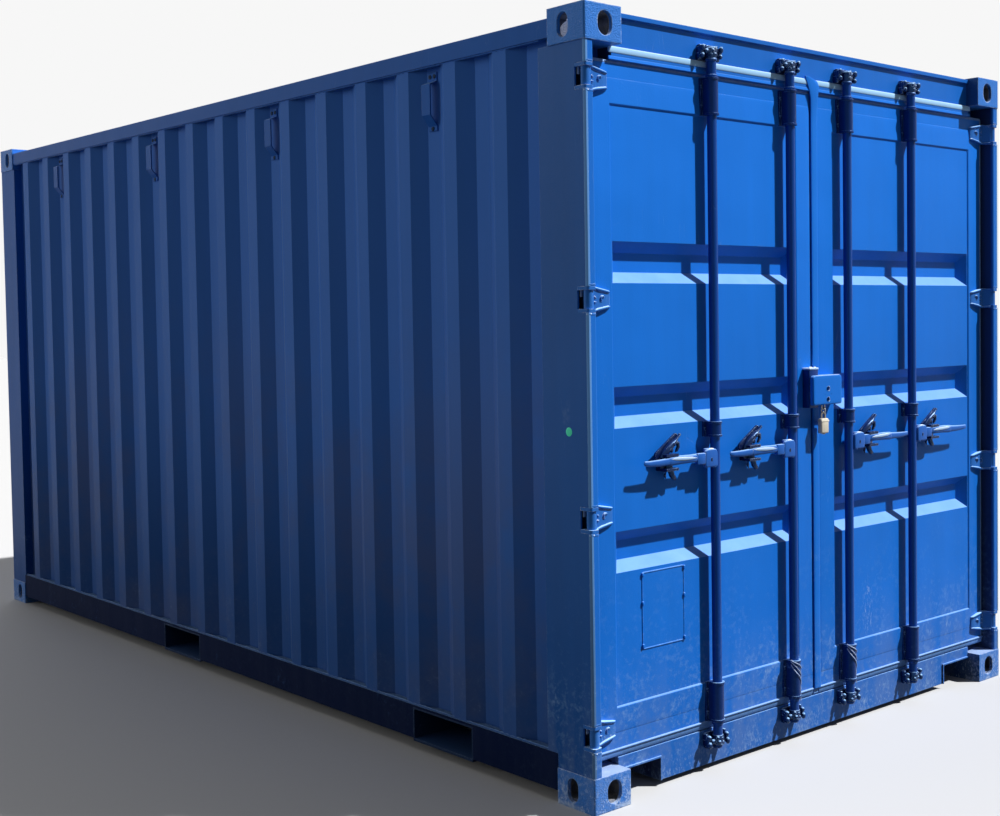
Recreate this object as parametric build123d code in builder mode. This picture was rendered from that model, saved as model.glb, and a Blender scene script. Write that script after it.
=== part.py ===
from build123d import *
import os

os.makedirs("parts", exist_ok=True)

# A short dry-cargo shipping container, in millimetres.
# The origin is the middle of the footprint on the ground, +Z is up and the doors face -Y.
# "Depth" is measured inwards from the door end, "inset" inwards from a side.

# Overall size
length = 4950.0
width = 2438.0
height = 2591.0

# Corner castings
casting_length = 178.0
casting_width = 162.0
casting_height = 118.0
casting_wall = 16.0
casting_face_plate = 28.0
casting_edge_radius = 8.0
side_hole_inset = 104.0
end_hole_inset = 89.0
wall_hole_height = 60.0
wall_hole_tall = 79.0
side_hole_wide = 51.0
end_hole_wide = 63.5
deck_hole_long = 124.0
deck_hole_wide = 63.5

# Posts at the door end
frame_inset = 4.0
post_front_depth = 3.0
post_flange_width = 36.0
post_return_depth = 113.0
post_inner_inset = 96.0
post_throat_depth = 196.0
post_back_inset = 44.0
post_back_depth = 228.0
post_plate = 7.0
post_edge_radius = 8.0

# Posts at the closed end
end_post_width = 150.0
end_post_depth = 190.0
end_post_chamfer = 60.0

# Side rails; a drop is measured down from the full height
top_rail_drop = 29.0
top_rail_height = 60.0
top_rail_width = 56.0
rail_plate = 5.0
bottom_rail_bottom = 40.0
bottom_rail_top = 165.0
bottom_rail_flange = 62.0
bottom_rail_foot = 40.0

# Corrugated side walls
sheet = 2.0
rib_pitch = 278.0
rib_face = 70.0
rib_slope = 68.0
rib_depth = 36.0
rib_first_centre = 435.0
rib_face_inset = 10.0

# Corrugated closed end
end_rib_pitch = 250.0
end_rib_face = 74.0
end_rib_slope = 40.0
end_rib_depth = 45.0
end_wall_inset = 38.0

# Roof sheet
roof_drop = 6.0
roof_rib_pitch = 209.0
roof_rib_width = 119.0
roof_rib_taper = 35.0
roof_rib_depth = 20.0
roof_rib_margin = 95.0
roof_flange_width = 52.0

# Header and sill at the door end
door_face_depth = 57.0
header_drop = 162.0
header_back_depth = 180.0
header_stop_drop = 24.0
header_shelf_depth = 47.0
header_shelf_height = 15.0
lip_depth = 49.0
lip_rise = 2.0
lip_height = 43.0
sill_bottom = 20.0
sill_top = 143.0
sill_back_depth = 232.0
sill_plate = 6.0
sill_notch_width = 194.0
sill_notch_top = 98.0
sill_notch_lip = 6.0
stop_gap = 6.0

# Closed end header and sill
end_header_drop = 151.0
end_header_depth = 180.0
end_sill_top = 190.0
end_sill_depth = 192.0

# Floor and underframe
floor_top = 186.0
floor_thickness = 28.0
floor_gap = 2.0
floor_panel_length = 1200.0
cross_member_flange = 45.0
cross_member_plate = 4.5
cross_member_spacing = 300.0
pocket_first_start = 640.0
pocket_pitch = 2032.0
pocket_width = 346.0
pocket_top = 150.0
pocket_plate = 6.0
pocket_strap_height = 10.0
pocket_strap_width = 210.0

# Lashing straps down the side walls, from the top rail downwards
strap_first_rib = 1
strap_rib_step = 4
strap_width = 50.0
strap_plate = 5.0
strap_gap = 16.0
strap_top_tail = 33.0
strap_top_slope = 13.0
strap_bridge = 110.0
strap_bottom_slope = 38.0
strap_bottom_tail = 17.0

# Door leaves
leaf_outer_inset = 59.0
leaf_foot_gap = 28.0
leaf_head_gap = 9.0
leaf_thickness = 50.0
left_leaf_inner = -24.0
right_leaf_inner = -14.0
frame_outer_width = 100.0
frame_inner_edge = 113.0
frame_foot = 143.0
frame_head = 134.0
panel_sheet = 4.0
groove_pitch = 477.0
groove_count = 3
groove_height = 140.0
groove_depth = 36.0
groove_taper = 45.0
gasket_drop = 22.0
gasket_reach = 13.0
gasket_front = 60.0
gasket_back = 72.0
strip_left = -17.0
strip_right = 26.0
strip_proud = 6.0

# Hinges
hinge_count = 4
hinge_foot = 74.0
hinge_head = 60.0
pin_inset = 22.0
pin_depth = 22.0
pin_radius = 9.0
pin_fit = 0.3
notch_height = 84.0
notch_depth = 54.0
lug_thickness = 12.0
knuckle_radius = 15.0
knuckle_gap = 1.5
blade_thickness = 12.0
blade_start_inset = 62.0
blade_root_inset = 74.0
blade_end_inset = 148.0
blade_root_height = 97.0
blade_tip_height = 55.0
blade_rib = 9.0
blade_pocket_depth = 5.0

# Lock rods
rod_radius = 17.0
rod_depth = 27.0
rod_inner = 172.0
rod_spacing = 427.0
rod_end = 5.0
rod_fit = 0.3
ring_radius = 21.0
ring_height = 8.0
ring_gap = 2.5
cam_height = 44.0
cam_hub_radius = 20.0
cam_lobe_height = 14.0
cam_reach = 42.0
cam_nose_radius = 9.0
cam_lobe_reach = 25.0
keeper_width = 112.0
keeper_height = 60.0
keeper_plate = 6.0
keeper_cheek = 8.0
keeper_front_depth = 16.0
keeper_slope_depth = 24.0
keeper_slope_rise = 15.0
keeper_sill_gap = 5.0
keeper_lip_gap = 2.0
keeper_cam_gap = 8.0

# Brackets that carry the rods
sleeve_radius = 23.0
sleeve_base_width = 66.0
sleeve_base_plate = 8.0
sleeve_collar_radius = 25.5
sleeve_collar_height = 7.0
bottom_sleeve_height = 139.0
middle_sleeve_height = 53.0
top_sleeve_height = 128.0
sleeve_foot_gap = 5.0
sleeve_head_gap = 4.0
sleeve_handle_rise = 71.0

# Handles
handle_level = 1106.0
handle_bar_height = 27.0
handle_bar_thickness = 10.0
handle_bar_depth = 18.0
handle_bar_bevel = 14.0
handle_bar_flat = 3.0
handle_grip_depth = 3.0
handle_grip_start = 242.0
handle_crank = 14.0
handle_grip_corner = 14.0
handle_hub_height = 62.0
handle_hub_start = 10.0
handle_hub_end = 73.0
handle_hub_front = 4.0
handle_hub_corner = 13.0
handle_pivot_radius = 6.0
handle_pivot_deep = 10.0
handle_length = 362.0
handle_eye_radius = 24.0
left_catch_offset = 236.0
right_catch_offset = 134.0
catch_width = 58.0
catch_gap = 6.0
catch_arm = 9.0
catch_arm_front = 5.0
latch_length = 127.0
latch_rise = 54.0
latch_foot_radius = 14.0
latch_tip_radius = 7.0
latch_thickness = 8.0
latch_angle = 36.0

# Lock box, padlock and document holder
box_left_edge = -99.0
box_rise = 140.0
box_height = 150.0
box_front_depth = 20.0
box_wall = 6.0
cover_right_edge = 98.0
cover_rise = 10.0
cover_height = 106.0
cover_front_depth = 2.0
cover_corner_radius = 12.0
cover_hole_radius = 8.0
cover_low_hole = 20.0
cover_high_hole = 60.0
cover_hole_x = 12.0
padlock_width = 46.0
padlock_height = 50.0
padlock_thickness = 20.0
padlock_x = 5.0
padlock_drop = 54.0
padlock_depth = 10.0
shackle_radius = 14.0
shackle_wire = 4.0
shackle_hole_gap = 2.0
shackle_seat_gap = 0.3
holder_side_gap = 123.0
holder_rise = 169.0
holder_width = 202.0
holder_height = 257.0
holder_bar = 12.0
holder_thickness = 9.0

# Worked out from the sizes above
half_width = width / 2
half_length = length / 2
post_bottom = casting_height
post_height = height - 2 * casting_height
casting_inner_x = half_width - casting_width
flange_inset = frame_inset + post_flange_width
rail_face = half_width - frame_inset
wall_outer = half_width - rib_face_inset
wall_inner = wall_outer - rib_depth
top_rail_top = height - top_rail_drop
top_rail_bottom = top_rail_top - top_rail_height
roof_top = height - roof_drop
header_bottom = height - header_drop
end_header_bottom = height - end_header_drop
lip_bottom = header_bottom + lip_rise
lip_top = lip_bottom + lip_height
pocket_starts = (pocket_first_start, pocket_first_start + pocket_pitch)
leaf_outer = half_width - leaf_outer_inset
leaf_bottom = sill_top + leaf_foot_gap
leaf_top = header_bottom - leaf_head_gap
leaf_back_depth = door_face_depth + leaf_thickness
panel_bottom = leaf_bottom + frame_foot
panel_top = leaf_top - frame_head
groove_middle = (panel_bottom + panel_top) / 2
pin_x = half_width - pin_inset
hinge_low = leaf_bottom + hinge_foot
hinge_spacing = (leaf_top - hinge_head - hinge_low) / (hinge_count - 1)
hinge_levels = [hinge_low + index * hinge_spacing for index in range(hinge_count)]
rod_outer = rod_inner + rod_spacing
rod_places = (-rod_outer, -rod_inner, rod_inner, rod_outer)
rod_y = -half_length + rod_depth


def depth_plane(depth):
    """Upright plane parallel to the door end; a negative extrude runs inwards from it."""
    return Plane.XZ.offset(half_length - depth)


def corner(inset, depth):
    """Plan point near the left door corner, from its distances to the side and the door end."""
    return (-half_width + inset, -half_length + depth)


def far_corner(inset, depth):
    """Plan point near the left corner of the closed end."""
    return (-half_width + inset, half_length - depth)


def lengthwise(depth, level):
    """Point of a lengthwise section, at a depth from the door end and a height."""
    return (-half_length + depth, level)


def span_rectangle(edge_a, edge_b, low, high, mode=Mode.ADD):
    """Rectangle of a sketch between two edges across and two levels."""
    with Locations(((edge_a + edge_b) / 2, (low + high) / 2)):
        Rectangle(abs(edge_b - edge_a), high - low, mode=mode)


def corrugation(first_centre, count, pitch, face, slope, low, high, start, end):
    """Points of a ribbed sheet: flats at the high level around each centre, low between them."""
    points = [(start, low)]
    for index in range(count):
        centre = first_centre + index * pitch
        points.append((centre - face / 2 - slope, low))
        points.append((centre - face / 2, high))
        points.append((centre + face / 2, high))
        points.append((centre + face / 2 + slope, low))
    points.append((end, low))
    return points


# Corner castings: hollow blocks with a slot in each outer face
def casting_set(base_plane, inward):
    """Four castings, from the plane of their outer deck face; inward is +1 up or -1 down."""
    centre_x = -half_width + casting_width / 2
    centre_y = -half_length + casting_length / 2
    level = base_plane.origin.Z
    with BuildPart() as castings:
        with BuildSketch(base_plane):
            with Locations((centre_x, centre_y)):
                Rectangle(casting_width, casting_length)
        extrude(amount=inward * casting_height)
        outer_edges = castings.edges().filter_by(Axis.Z).sort_by(Axis.X)[0:2].sort_by(Axis.Y)[0:1]
        fillet(outer_edges, radius=casting_edge_radius)
        with BuildSketch(base_plane.offset(inward * casting_face_plate)):
            with Locations((centre_x, centre_y)):
                Rectangle(casting_width - 2 * casting_wall, casting_length - 2 * casting_wall)
        cavity = casting_height - casting_face_plate - casting_wall
        extrude(amount=inward * cavity, mode=Mode.SUBTRACT)
        with BuildSketch(base_plane):
            with Locations(corner(end_hole_inset, side_hole_inset)):
                SlotOverall(deck_hole_long, deck_hole_wide, rotation=90)
        extrude(amount=inward * casting_face_plate, mode=Mode.SUBTRACT)
        with BuildSketch(Plane.YZ.offset(-half_width)):
            with Locations((-half_length + side_hole_inset, level + inward * wall_hole_height)):
                SlotOverall(wall_hole_tall, side_hole_wide, rotation=90)
        extrude(amount=casting_wall, mode=Mode.SUBTRACT)
        with BuildSketch(depth_plane(0)):
            with Locations((-half_width + end_hole_inset, level + inward * wall_hole_height)):
                SlotOverall(wall_hole_tall, end_hole_wide, rotation=90)
        extrude(amount=-casting_wall, mode=Mode.SUBTRACT)
        mirror(about=Plane.YZ)
        mirror(about=Plane.XZ)
    return castings


corner_castings_bottom = casting_set(Plane.XY, 1)
corner_castings_bottom.part.label = "corner_castings_bottom"
export_step(corner_castings_bottom.part, "parts/corner_castings_bottom.step")

corner_castings_top = casting_set(Plane.XY.offset(height), -1)
corner_castings_top.part.label = "corner_castings_top"
export_step(corner_castings_top.part, "parts/corner_castings_top.step")


# Door end posts: a folded plate with a narrow front flange, notched at each hinge
post_outline = [
    (frame_inset, post_front_depth),
    (flange_inset, post_front_depth),
    (flange_inset, post_return_depth),
    (post_inner_inset, post_return_depth),
    (post_inner_inset, post_throat_depth),
    (post_back_inset, post_back_depth),
    (frame_inset, post_back_depth),
]
with BuildPart() as door_posts:
    with BuildSketch(Plane.XY.offset(post_bottom)) as post_section:
        with BuildLine():
            Polyline(*[corner(inset, depth) for inset, depth in post_outline], close=True)
        make_face()
        fillet(post_section.vertices().group_by(Axis.Y)[0], radius=post_edge_radius)
        offset(amount=-post_plate, kind=Kind.INTERSECTION, mode=Mode.SUBTRACT)
    extrude(amount=post_height)
    with BuildSketch(depth_plane(0)):
        for level in hinge_levels:
            with Locations((-half_width + flange_inset / 2, level)):
                Rectangle(flange_inset + 2 * post_plate, notch_height)
    extrude(amount=-notch_depth, mode=Mode.SUBTRACT)
    # The bottom rail runs under the back of the post to meet the casting
    with BuildSketch(Plane.XY.offset(post_bottom)):
        with Locations(corner(post_inner_inset / 2, (casting_length + post_back_depth) / 2)):
            Rectangle(post_inner_inset, post_back_depth - casting_length)
    extrude(amount=bottom_rail_top - post_bottom, mode=Mode.SUBTRACT)
    mirror(about=Plane.YZ)
door_posts.part.label = "door_posts"
export_step(door_posts.part, "parts/door_posts.step")


# Closed end posts: square tubes with the inner corner taken off
end_post_outline = [
    (frame_inset, frame_inset),
    (end_post_width, frame_inset),
    (end_post_width, end_post_depth - end_post_chamfer),
    (end_post_width - end_post_chamfer, end_post_depth),
    (frame_inset, end_post_depth),
]
with BuildPart() as end_posts:
    with BuildSketch(Plane.XY.offset(post_bottom)):
        with BuildLine():
            Polyline(*[far_corner(inset, depth) for inset, depth in end_post_outline], close=True)
        make_face()
        offset(amount=-post_plate, kind=Kind.INTERSECTION, mode=Mode.SUBTRACT)
    extrude(amount=post_height)
    # The bottom rail runs under the front of this post too
    with BuildSketch(Plane.XY.offset(post_bottom)):
        with Locations(far_corner(end_post_width / 2, (casting_length + end_post_depth) / 2)):
            Rectangle(end_post_width, end_post_depth - casting_length)
    extrude(amount=bottom_rail_top - post_bottom, mode=Mode.SUBTRACT)
    mirror(about=Plane.YZ)
end_posts.part.label = "end_posts"
export_step(end_posts.part, "parts/end_posts.step")


# Top side rails: square tubes between the top castings
with BuildPart() as top_side_rails:
    with BuildSketch(depth_plane(casting_length)):
        with Locations((-rail_face + top_rail_width / 2, top_rail_bottom + top_rail_height / 2)):
            Rectangle(top_rail_width, top_rail_height)
            Rectangle(
                top_rail_width - 2 * rail_plate, top_rail_height - 2 * rail_plate, mode=Mode.SUBTRACT
            )
    extrude(amount=-(length - 2 * casting_length))
    mirror(about=Plane.YZ)
top_side_rails.part.label = "top_side_rails"
export_step(top_side_rails.part, "parts/top_side_rails.step")


# Bottom side rails: channels open inwards, cut out at the fork pockets
with BuildPart() as bottom_side_rails:
    with BuildSketch(depth_plane(casting_length)):
        with BuildLine():
            Polyline(
                (-rail_face, bottom_rail_bottom),
                (-rail_face + bottom_rail_foot, bottom_rail_bottom),
                (-rail_face + bottom_rail_foot, bottom_rail_bottom + rail_plate),
                (-rail_face + rail_plate, bottom_rail_bottom + rail_plate),
                (-rail_face + rail_plate, bottom_rail_top - rail_plate),
                (-rail_face + bottom_rail_flange, bottom_rail_top - rail_plate),
                (-rail_face + bottom_rail_flange, bottom_rail_top),
                (-rail_face, bottom_rail_top),
                close=True,
            )
        make_face()
    extrude(amount=-(length - 2 * casting_length))
    with BuildSketch(Plane.YZ.offset(-rail_face)):
        for start in pocket_starts:
            with Locations(lengthwise(start + pocket_width / 2, pocket_top / 2)):
                Rectangle(pocket_width + 2 * pocket_plate, pocket_top + 2 * pocket_plate)
    extrude(amount=bottom_rail_flange, mode=Mode.SUBTRACT)
    mirror(about=Plane.YZ)
bottom_side_rails.part.label = "bottom_side_rails"
export_step(bottom_side_rails.part, "parts/bottom_side_rails.step")


# Side walls: one ribbed sheet each, between the posts and the rails
rib_room = length - end_post_depth - rib_first_centre - rib_face / 2 - rib_slope
rib_count = 1 + int(rib_room / rib_pitch)
rib_path = corrugation(
    rib_first_centre,
    rib_count,
    rib_pitch,
    rib_face,
    rib_slope,
    wall_inner,
    wall_outer,
    post_back_depth,
    length - end_post_depth,
)
for side_name, side in (("left", -1), ("right", 1)):
    outer_line = [(side * x, -half_length + depth) for depth, x in rib_path]
    inner_line = [(side * (x - sheet), -half_length + depth) for depth, x in rib_path]
    with BuildPart() as side_wall:
        with BuildSketch(Plane.XY.offset(bottom_rail_top)):
            with BuildLine():
                Polyline(*outer_line, *reversed(inner_line), close=True)
            make_face()
        extrude(amount=top_rail_bottom - bottom_rail_top)
    side_wall.part.label = f"{side_name}_side_wall"
    export_step(side_wall.part, f"parts/{side_name}_side_wall.step")


# Closed end wall: upright ribs between the end posts
end_span = half_width - end_post_width
end_rib_count = 1 + int((2 * end_span - end_rib_face - 2 * end_rib_slope) / end_rib_pitch)
end_path = corrugation(
    -(end_rib_count - 1) / 2 * end_rib_pitch,
    end_rib_count,
    end_rib_pitch,
    end_rib_face,
    end_rib_slope,
    end_wall_inset + end_rib_depth,
    end_wall_inset,
    -end_span,
    end_span,
)
with BuildPart() as end_wall:
    with BuildSketch(Plane.XY.offset(end_sill_top)):
        with BuildLine():
            Polyline(
                *[(x, half_length - depth) for x, depth in end_path],
                *[(x, half_length - depth - sheet) for x, depth in reversed(end_path)],
                close=True,
            )
        make_face()
    extrude(amount=end_header_bottom - end_sill_top)
end_wall.part.label = "end_wall"
export_step(end_wall.part, "parts/end_wall.step")


# Header over the doors: a box beam with a roof shelf, a door stop and a rounded drip lip
header_section = [
    (door_face_depth, header_bottom),
    (door_face_depth, roof_top - header_shelf_height),
    (header_shelf_depth, roof_top - header_shelf_height),
    (header_shelf_depth, roof_top),
    (header_back_depth, roof_top),
    (header_back_depth, header_bottom - header_stop_drop),
    (leaf_back_depth + stop_gap, header_bottom - header_stop_drop),
    (leaf_back_depth + stop_gap, header_bottom),
]
header_line = [lengthwise(depth, level) for depth, level in header_section]
with BuildPart() as door_header:
    with BuildSketch(Plane.YZ.offset(-casting_inner_x)):
        with BuildLine():
            Polyline(*header_line, close=True)
        make_face()
        offset(amount=-sill_plate, kind=Kind.INTERSECTION, mode=Mode.SUBTRACT)
    extrude(amount=2 * casting_inner_x)
    # A cap closes each end of the beam, and a bent plate runs on from it to the post
    with BuildSketch(Plane.YZ.offset(-casting_inner_x)):
        with BuildLine():
            Polyline(*header_line, close=True)
        make_face()
    extrude(amount=sill_plate)
    with BuildSketch(Plane.YZ.offset(-half_width + post_inner_inset)):
        with BuildLine():
            Polyline(
                lengthwise(leaf_back_depth + stop_gap, height - casting_height),
                lengthwise(leaf_back_depth + stop_gap, header_bottom - header_stop_drop),
                lengthwise(header_back_depth, header_bottom - header_stop_drop),
                lengthwise(header_back_depth, header_bottom - header_stop_drop + sill_plate),
                lengthwise(
                    leaf_back_depth + stop_gap + sill_plate, header_bottom - header_stop_drop + sill_plate
                ),
                lengthwise(leaf_back_depth + stop_gap + sill_plate, height - casting_height),
                close=True,
            )
        make_face()
    extrude(amount=casting_width - post_inner_inset)
    mirror(about=Plane.YZ)
    lip_reach = door_face_depth - lip_depth
    with BuildSketch(Plane.YZ.offset(-casting_inner_x)):
        with BuildLine():
            Polyline(
                lengthwise(door_face_depth, lip_bottom),
                lengthwise(lip_depth + lip_reach / 2, lip_bottom),
                lengthwise(lip_depth, lip_bottom + lip_reach),
                lengthwise(lip_depth, lip_top - 2 * lip_reach),
                lengthwise(door_face_depth, lip_top),
                close=True,
            )
        make_face()
    extrude(amount=2 * casting_inner_x)
door_header.part.label = "door_header"
export_step(door_header.part, "parts/door_header.step")


# Sill under the doors: a stepped box beam, notched from below beside each casting
sill_section = [
    (door_face_depth, sill_bottom),
    (door_face_depth, sill_top),
    (leaf_back_depth + stop_gap, sill_top),
    (leaf_back_depth + stop_gap, floor_top),
    (sill_back_depth, floor_top),
    (sill_back_depth, sill_bottom),
]
sill_line = [lengthwise(depth, level) for depth, level in sill_section]
notch_end = casting_inner_x - sill_notch_width
with BuildPart() as door_sill:
    with BuildSketch(Plane.YZ.offset(-casting_inner_x)):
        with BuildLine():
            Polyline(*sill_line, close=True)
        make_face()
        offset(amount=-sill_plate, kind=Kind.INTERSECTION, mode=Mode.SUBTRACT)
    extrude(amount=2 * casting_inner_x)
    with BuildSketch(Plane.YZ.offset(-casting_inner_x)):
        with BuildLine():
            Polyline(*sill_line, close=True)
        make_face()
    extrude(amount=sill_plate)
    with BuildSketch(Plane.YZ.offset(-half_width + post_inner_inset)):
        with BuildLine():
            Polyline(
                lengthwise(leaf_back_depth + stop_gap, casting_height),
                lengthwise(leaf_back_depth + stop_gap, floor_top),
                lengthwise(post_throat_depth, floor_top),
                lengthwise(post_throat_depth, floor_top - sill_plate),
                lengthwise(leaf_back_depth + stop_gap + sill_plate, floor_top - sill_plate),
                lengthwise(leaf_back_depth + stop_gap + sill_plate, casting_height),
                close=True,
            )
        make_face()
    extrude(amount=casting_width - post_inner_inset)
    mirror(about=Plane.YZ)
    # A notch beside each casting goes in from the front and from below, lined with plate that stands proud
    for side in (-1, 1):
        with BuildSketch(depth_plane(0)):
            span_rectangle(side * casting_inner_x, side * notch_end, 0, sill_notch_top)
        extrude(amount=-(sill_back_depth - sill_plate), mode=Mode.SUBTRACT)
        with BuildSketch(depth_plane(door_face_depth - sill_notch_lip)):
            span_rectangle(
                side * casting_inner_x,
                side * (notch_end - sill_plate),
                sill_bottom,
                sill_notch_top + sill_plate,
            )
            span_rectangle(
                side * casting_inner_x, side * notch_end, sill_bottom, sill_notch_top, Mode.SUBTRACT
            )
        extrude(amount=-(sill_back_depth - sill_plate - door_face_depth + sill_notch_lip))
door_sill.part.label = "door_sill"
export_step(door_sill.part, "parts/door_sill.step")


# Closed end header and sill: box beams between the castings and posts
with BuildPart() as end_header:
    with BuildSketch(Plane.YZ.offset(-casting_inner_x)):
        with BuildLine():
            Polyline(
                (half_length - frame_inset, height - casting_height),
                (half_length - frame_inset, roof_top),
                (half_length - end_header_depth, roof_top),
                (half_length - end_header_depth, height - casting_height),
                close=True,
            )
        make_face()
        offset(amount=-sill_plate, kind=Kind.INTERSECTION, mode=Mode.SUBTRACT)
    extrude(amount=2 * casting_inner_x)
    with BuildSketch(Plane.YZ.offset(-end_span)):
        with BuildLine():
            Polyline(
                (half_length - end_wall_inset / 2, end_header_bottom),
                (half_length - end_wall_inset / 2, height - casting_height),
                (half_length - end_header_depth, height - casting_height),
                (half_length - end_header_depth, end_header_bottom),
                close=True,
            )
        make_face()
    extrude(amount=2 * end_span)
end_header.part.label = "end_header"
export_step(end_header.part, "parts/end_header.step")

with BuildPart() as end_sill:
    with BuildSketch(Plane.YZ.offset(-casting_inner_x)):
        with BuildLine():
            Polyline(
                (half_length - frame_inset, sill_bottom),
                (half_length - frame_inset, casting_height),
                (half_length - end_sill_depth, casting_height),
                (half_length - end_sill_depth, sill_bottom),
                close=True,
            )
        make_face()
        offset(amount=-sill_plate, kind=Kind.INTERSECTION, mode=Mode.SUBTRACT)
    extrude(amount=2 * casting_inner_x)
    with BuildSketch(Plane.YZ.offset(-end_span)):
        with BuildLine():
            Polyline(
                (half_length - end_wall_inset / 2, casting_height),
                (half_length - end_wall_inset / 2, end_sill_top),
                (half_length - end_sill_depth, end_sill_top),
                (half_length - end_sill_depth, casting_height),
                close=True,
            )
        make_face()
    extrude(amount=2 * end_span)
end_sill.part.label = "end_sill"
export_step(end_sill.part, "parts/end_sill.step")


# Roof: a sheet with pressed ribs across it that stop short of its edges, resting on the top rails
roof_start = header_back_depth
roof_end = length - end_header_depth
roof_rib_count = 1 + int((roof_end - roof_start - 2 * roof_rib_width) / roof_rib_pitch)
roof_half = rail_face - top_rail_width + roof_flange_width
roof_middle = (roof_start + roof_end) / 2
with BuildPart() as roof_sheet:
    with BuildSketch(Plane.XY.offset(top_rail_top)):
        with Locations((0, -half_length + roof_middle)):
            Rectangle(2 * roof_half, roof_end - roof_start)
    extrude(amount=sheet)
    for base, mode in ((top_rail_top + sheet, Mode.ADD), (top_rail_top, Mode.SUBTRACT)):
        with BuildSketch(Plane.XY.offset(base)):
            with Locations((0, -half_length + roof_middle)):
                with GridLocations(0, roof_rib_pitch, 1, roof_rib_count):
                    Rectangle(2 * (roof_half - roof_rib_margin), roof_rib_width)
        extrude(amount=roof_rib_depth, taper=roof_rib_taper, mode=mode)
roof_sheet.part.label = "roof_sheet"
export_step(roof_sheet.part, "parts/roof_sheet.step")


# Floor: plywood boards in two rows, from the sill to the end sill
floor_half = rail_face - bottom_rail_flange - floor_gap
floor_start = sill_back_depth + floor_gap
floor_end = length - end_sill_depth - floor_gap
floor_rows = max(1, round((floor_end - floor_start) / floor_panel_length))
board_pitch = (floor_end - floor_start + floor_gap) / floor_rows
with BuildPart() as floor_boards:
    with BuildSketch(Plane.XY.offset(floor_top - floor_thickness)):
        with Locations((0, -half_length + (floor_start + floor_end) / 2)):
            with GridLocations(floor_half + floor_gap / 2, board_pitch, 2, floor_rows):
                Rectangle(floor_half - floor_gap / 2, board_pitch - floor_gap)
    extrude(amount=floor_thickness)
floor_boards.part.label = "floor_boards"
export_step(floor_boards.part, "parts/floor_boards.step")


# Cross members: channels under the floor, spread between the sills and the fork pockets
cross_member_top = floor_top - floor_thickness
cross_member_bottom = bottom_rail_bottom + rail_plate
cross_member_height = cross_member_top - cross_member_bottom
member_half = rail_face - rail_plate
bay_edges = [sill_back_depth]
for start in pocket_starts:
    bay_edges += [start - pocket_plate, start + pocket_width + pocket_plate]
bay_edges.append(length - end_sill_depth)
member_depths = []
for bay in range(0, len(bay_edges), 2):
    span = bay_edges[bay + 1] - bay_edges[bay]
    gaps = max(2, round(span / cross_member_spacing))
    member_depths += [bay_edges[bay] + span * step / gaps for step in range(1, gaps)]
with BuildPart() as cross_members:
    with BuildSketch(Plane.YZ.offset(-member_half)):
        for depth in member_depths:
            with Locations(lengthwise(depth, cross_member_bottom + cross_member_height / 2)):
                Rectangle(cross_member_flange, cross_member_height)
            with Locations(
                lengthwise(depth + cross_member_plate, cross_member_bottom + cross_member_height / 2)
            ):
                Rectangle(
                    cross_member_flange,
                    cross_member_height - 2 * cross_member_plate,
                    mode=Mode.SUBTRACT,
                )
    extrude(amount=2 * member_half)
cross_members.part.label = "cross_members"
export_step(cross_members.part, "parts/cross_members.step")


# Fork pockets: open-bottomed tunnels across the base, closed below by a strap at each side
with BuildPart() as fork_pockets:
    with BuildSketch(Plane.YZ.offset(-rail_face)):
        for start in pocket_starts:
            with Locations(lengthwise(start + pocket_width / 2, 0)):
                with Locations((0, (bottom_rail_bottom + pocket_top + pocket_plate) / 2)):
                    Rectangle(
                        pocket_width + 2 * pocket_plate,
                        pocket_top + pocket_plate - bottom_rail_bottom,
                    )
                with Locations((0, (bottom_rail_bottom + pocket_top) / 2)):
                    Rectangle(pocket_width, pocket_top - bottom_rail_bottom, mode=Mode.SUBTRACT)
    extrude(amount=2 * rail_face)
    with BuildSketch(Plane.XY.offset(bottom_rail_bottom - pocket_strap_height)):
        for start in pocket_starts:
            for side in (-1, 1):
                with Locations(
                    (
                        side * (rail_face - pocket_strap_width / 2),
                        -half_length + start + pocket_width / 2,
                    )
                ):
                    Rectangle(pocket_strap_width, pocket_width + 2 * pocket_plate)
    extrude(amount=pocket_strap_height)
fork_pockets.part.label = "fork_pockets"
export_step(fork_pockets.part, "parts/fork_pockets.step")


# Lashing straps: bent bars bridging the hollows between the wall ribs
strap_top = top_rail_bottom - strap_gap
bridge_top = strap_top - strap_top_tail - strap_top_slope
bridge_bottom = bridge_top - strap_bridge
strap_line = [
    (wall_inner, bridge_bottom - strap_bottom_slope - strap_bottom_tail),
    (wall_inner, bridge_bottom - strap_bottom_slope),
    (wall_outer - strap_plate, bridge_bottom),
    (wall_outer - strap_plate, bridge_top),
    (wall_inner, bridge_top + strap_top_slope),
    (wall_inner, strap_top),
]
with BuildPart() as side_straps:
    for rib in range(strap_first_rib, rib_count - 1, strap_rib_step):
        centre = rib_first_centre + rib * rib_pitch + rib_pitch / 2
        with BuildSketch(depth_plane(centre - strap_width / 2)):
            with BuildLine():
                Polyline(
                    *[(-x, level) for x, level in strap_line],
                    *[(-x - strap_plate, level) for x, level in reversed(strap_line)],
                    close=True,
                )
            make_face()
        extrude(amount=-strap_width)
    mirror(about=Plane.YZ)
side_straps.part.label = "side_straps"
export_step(side_straps.part, "parts/side_straps.step")


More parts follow.
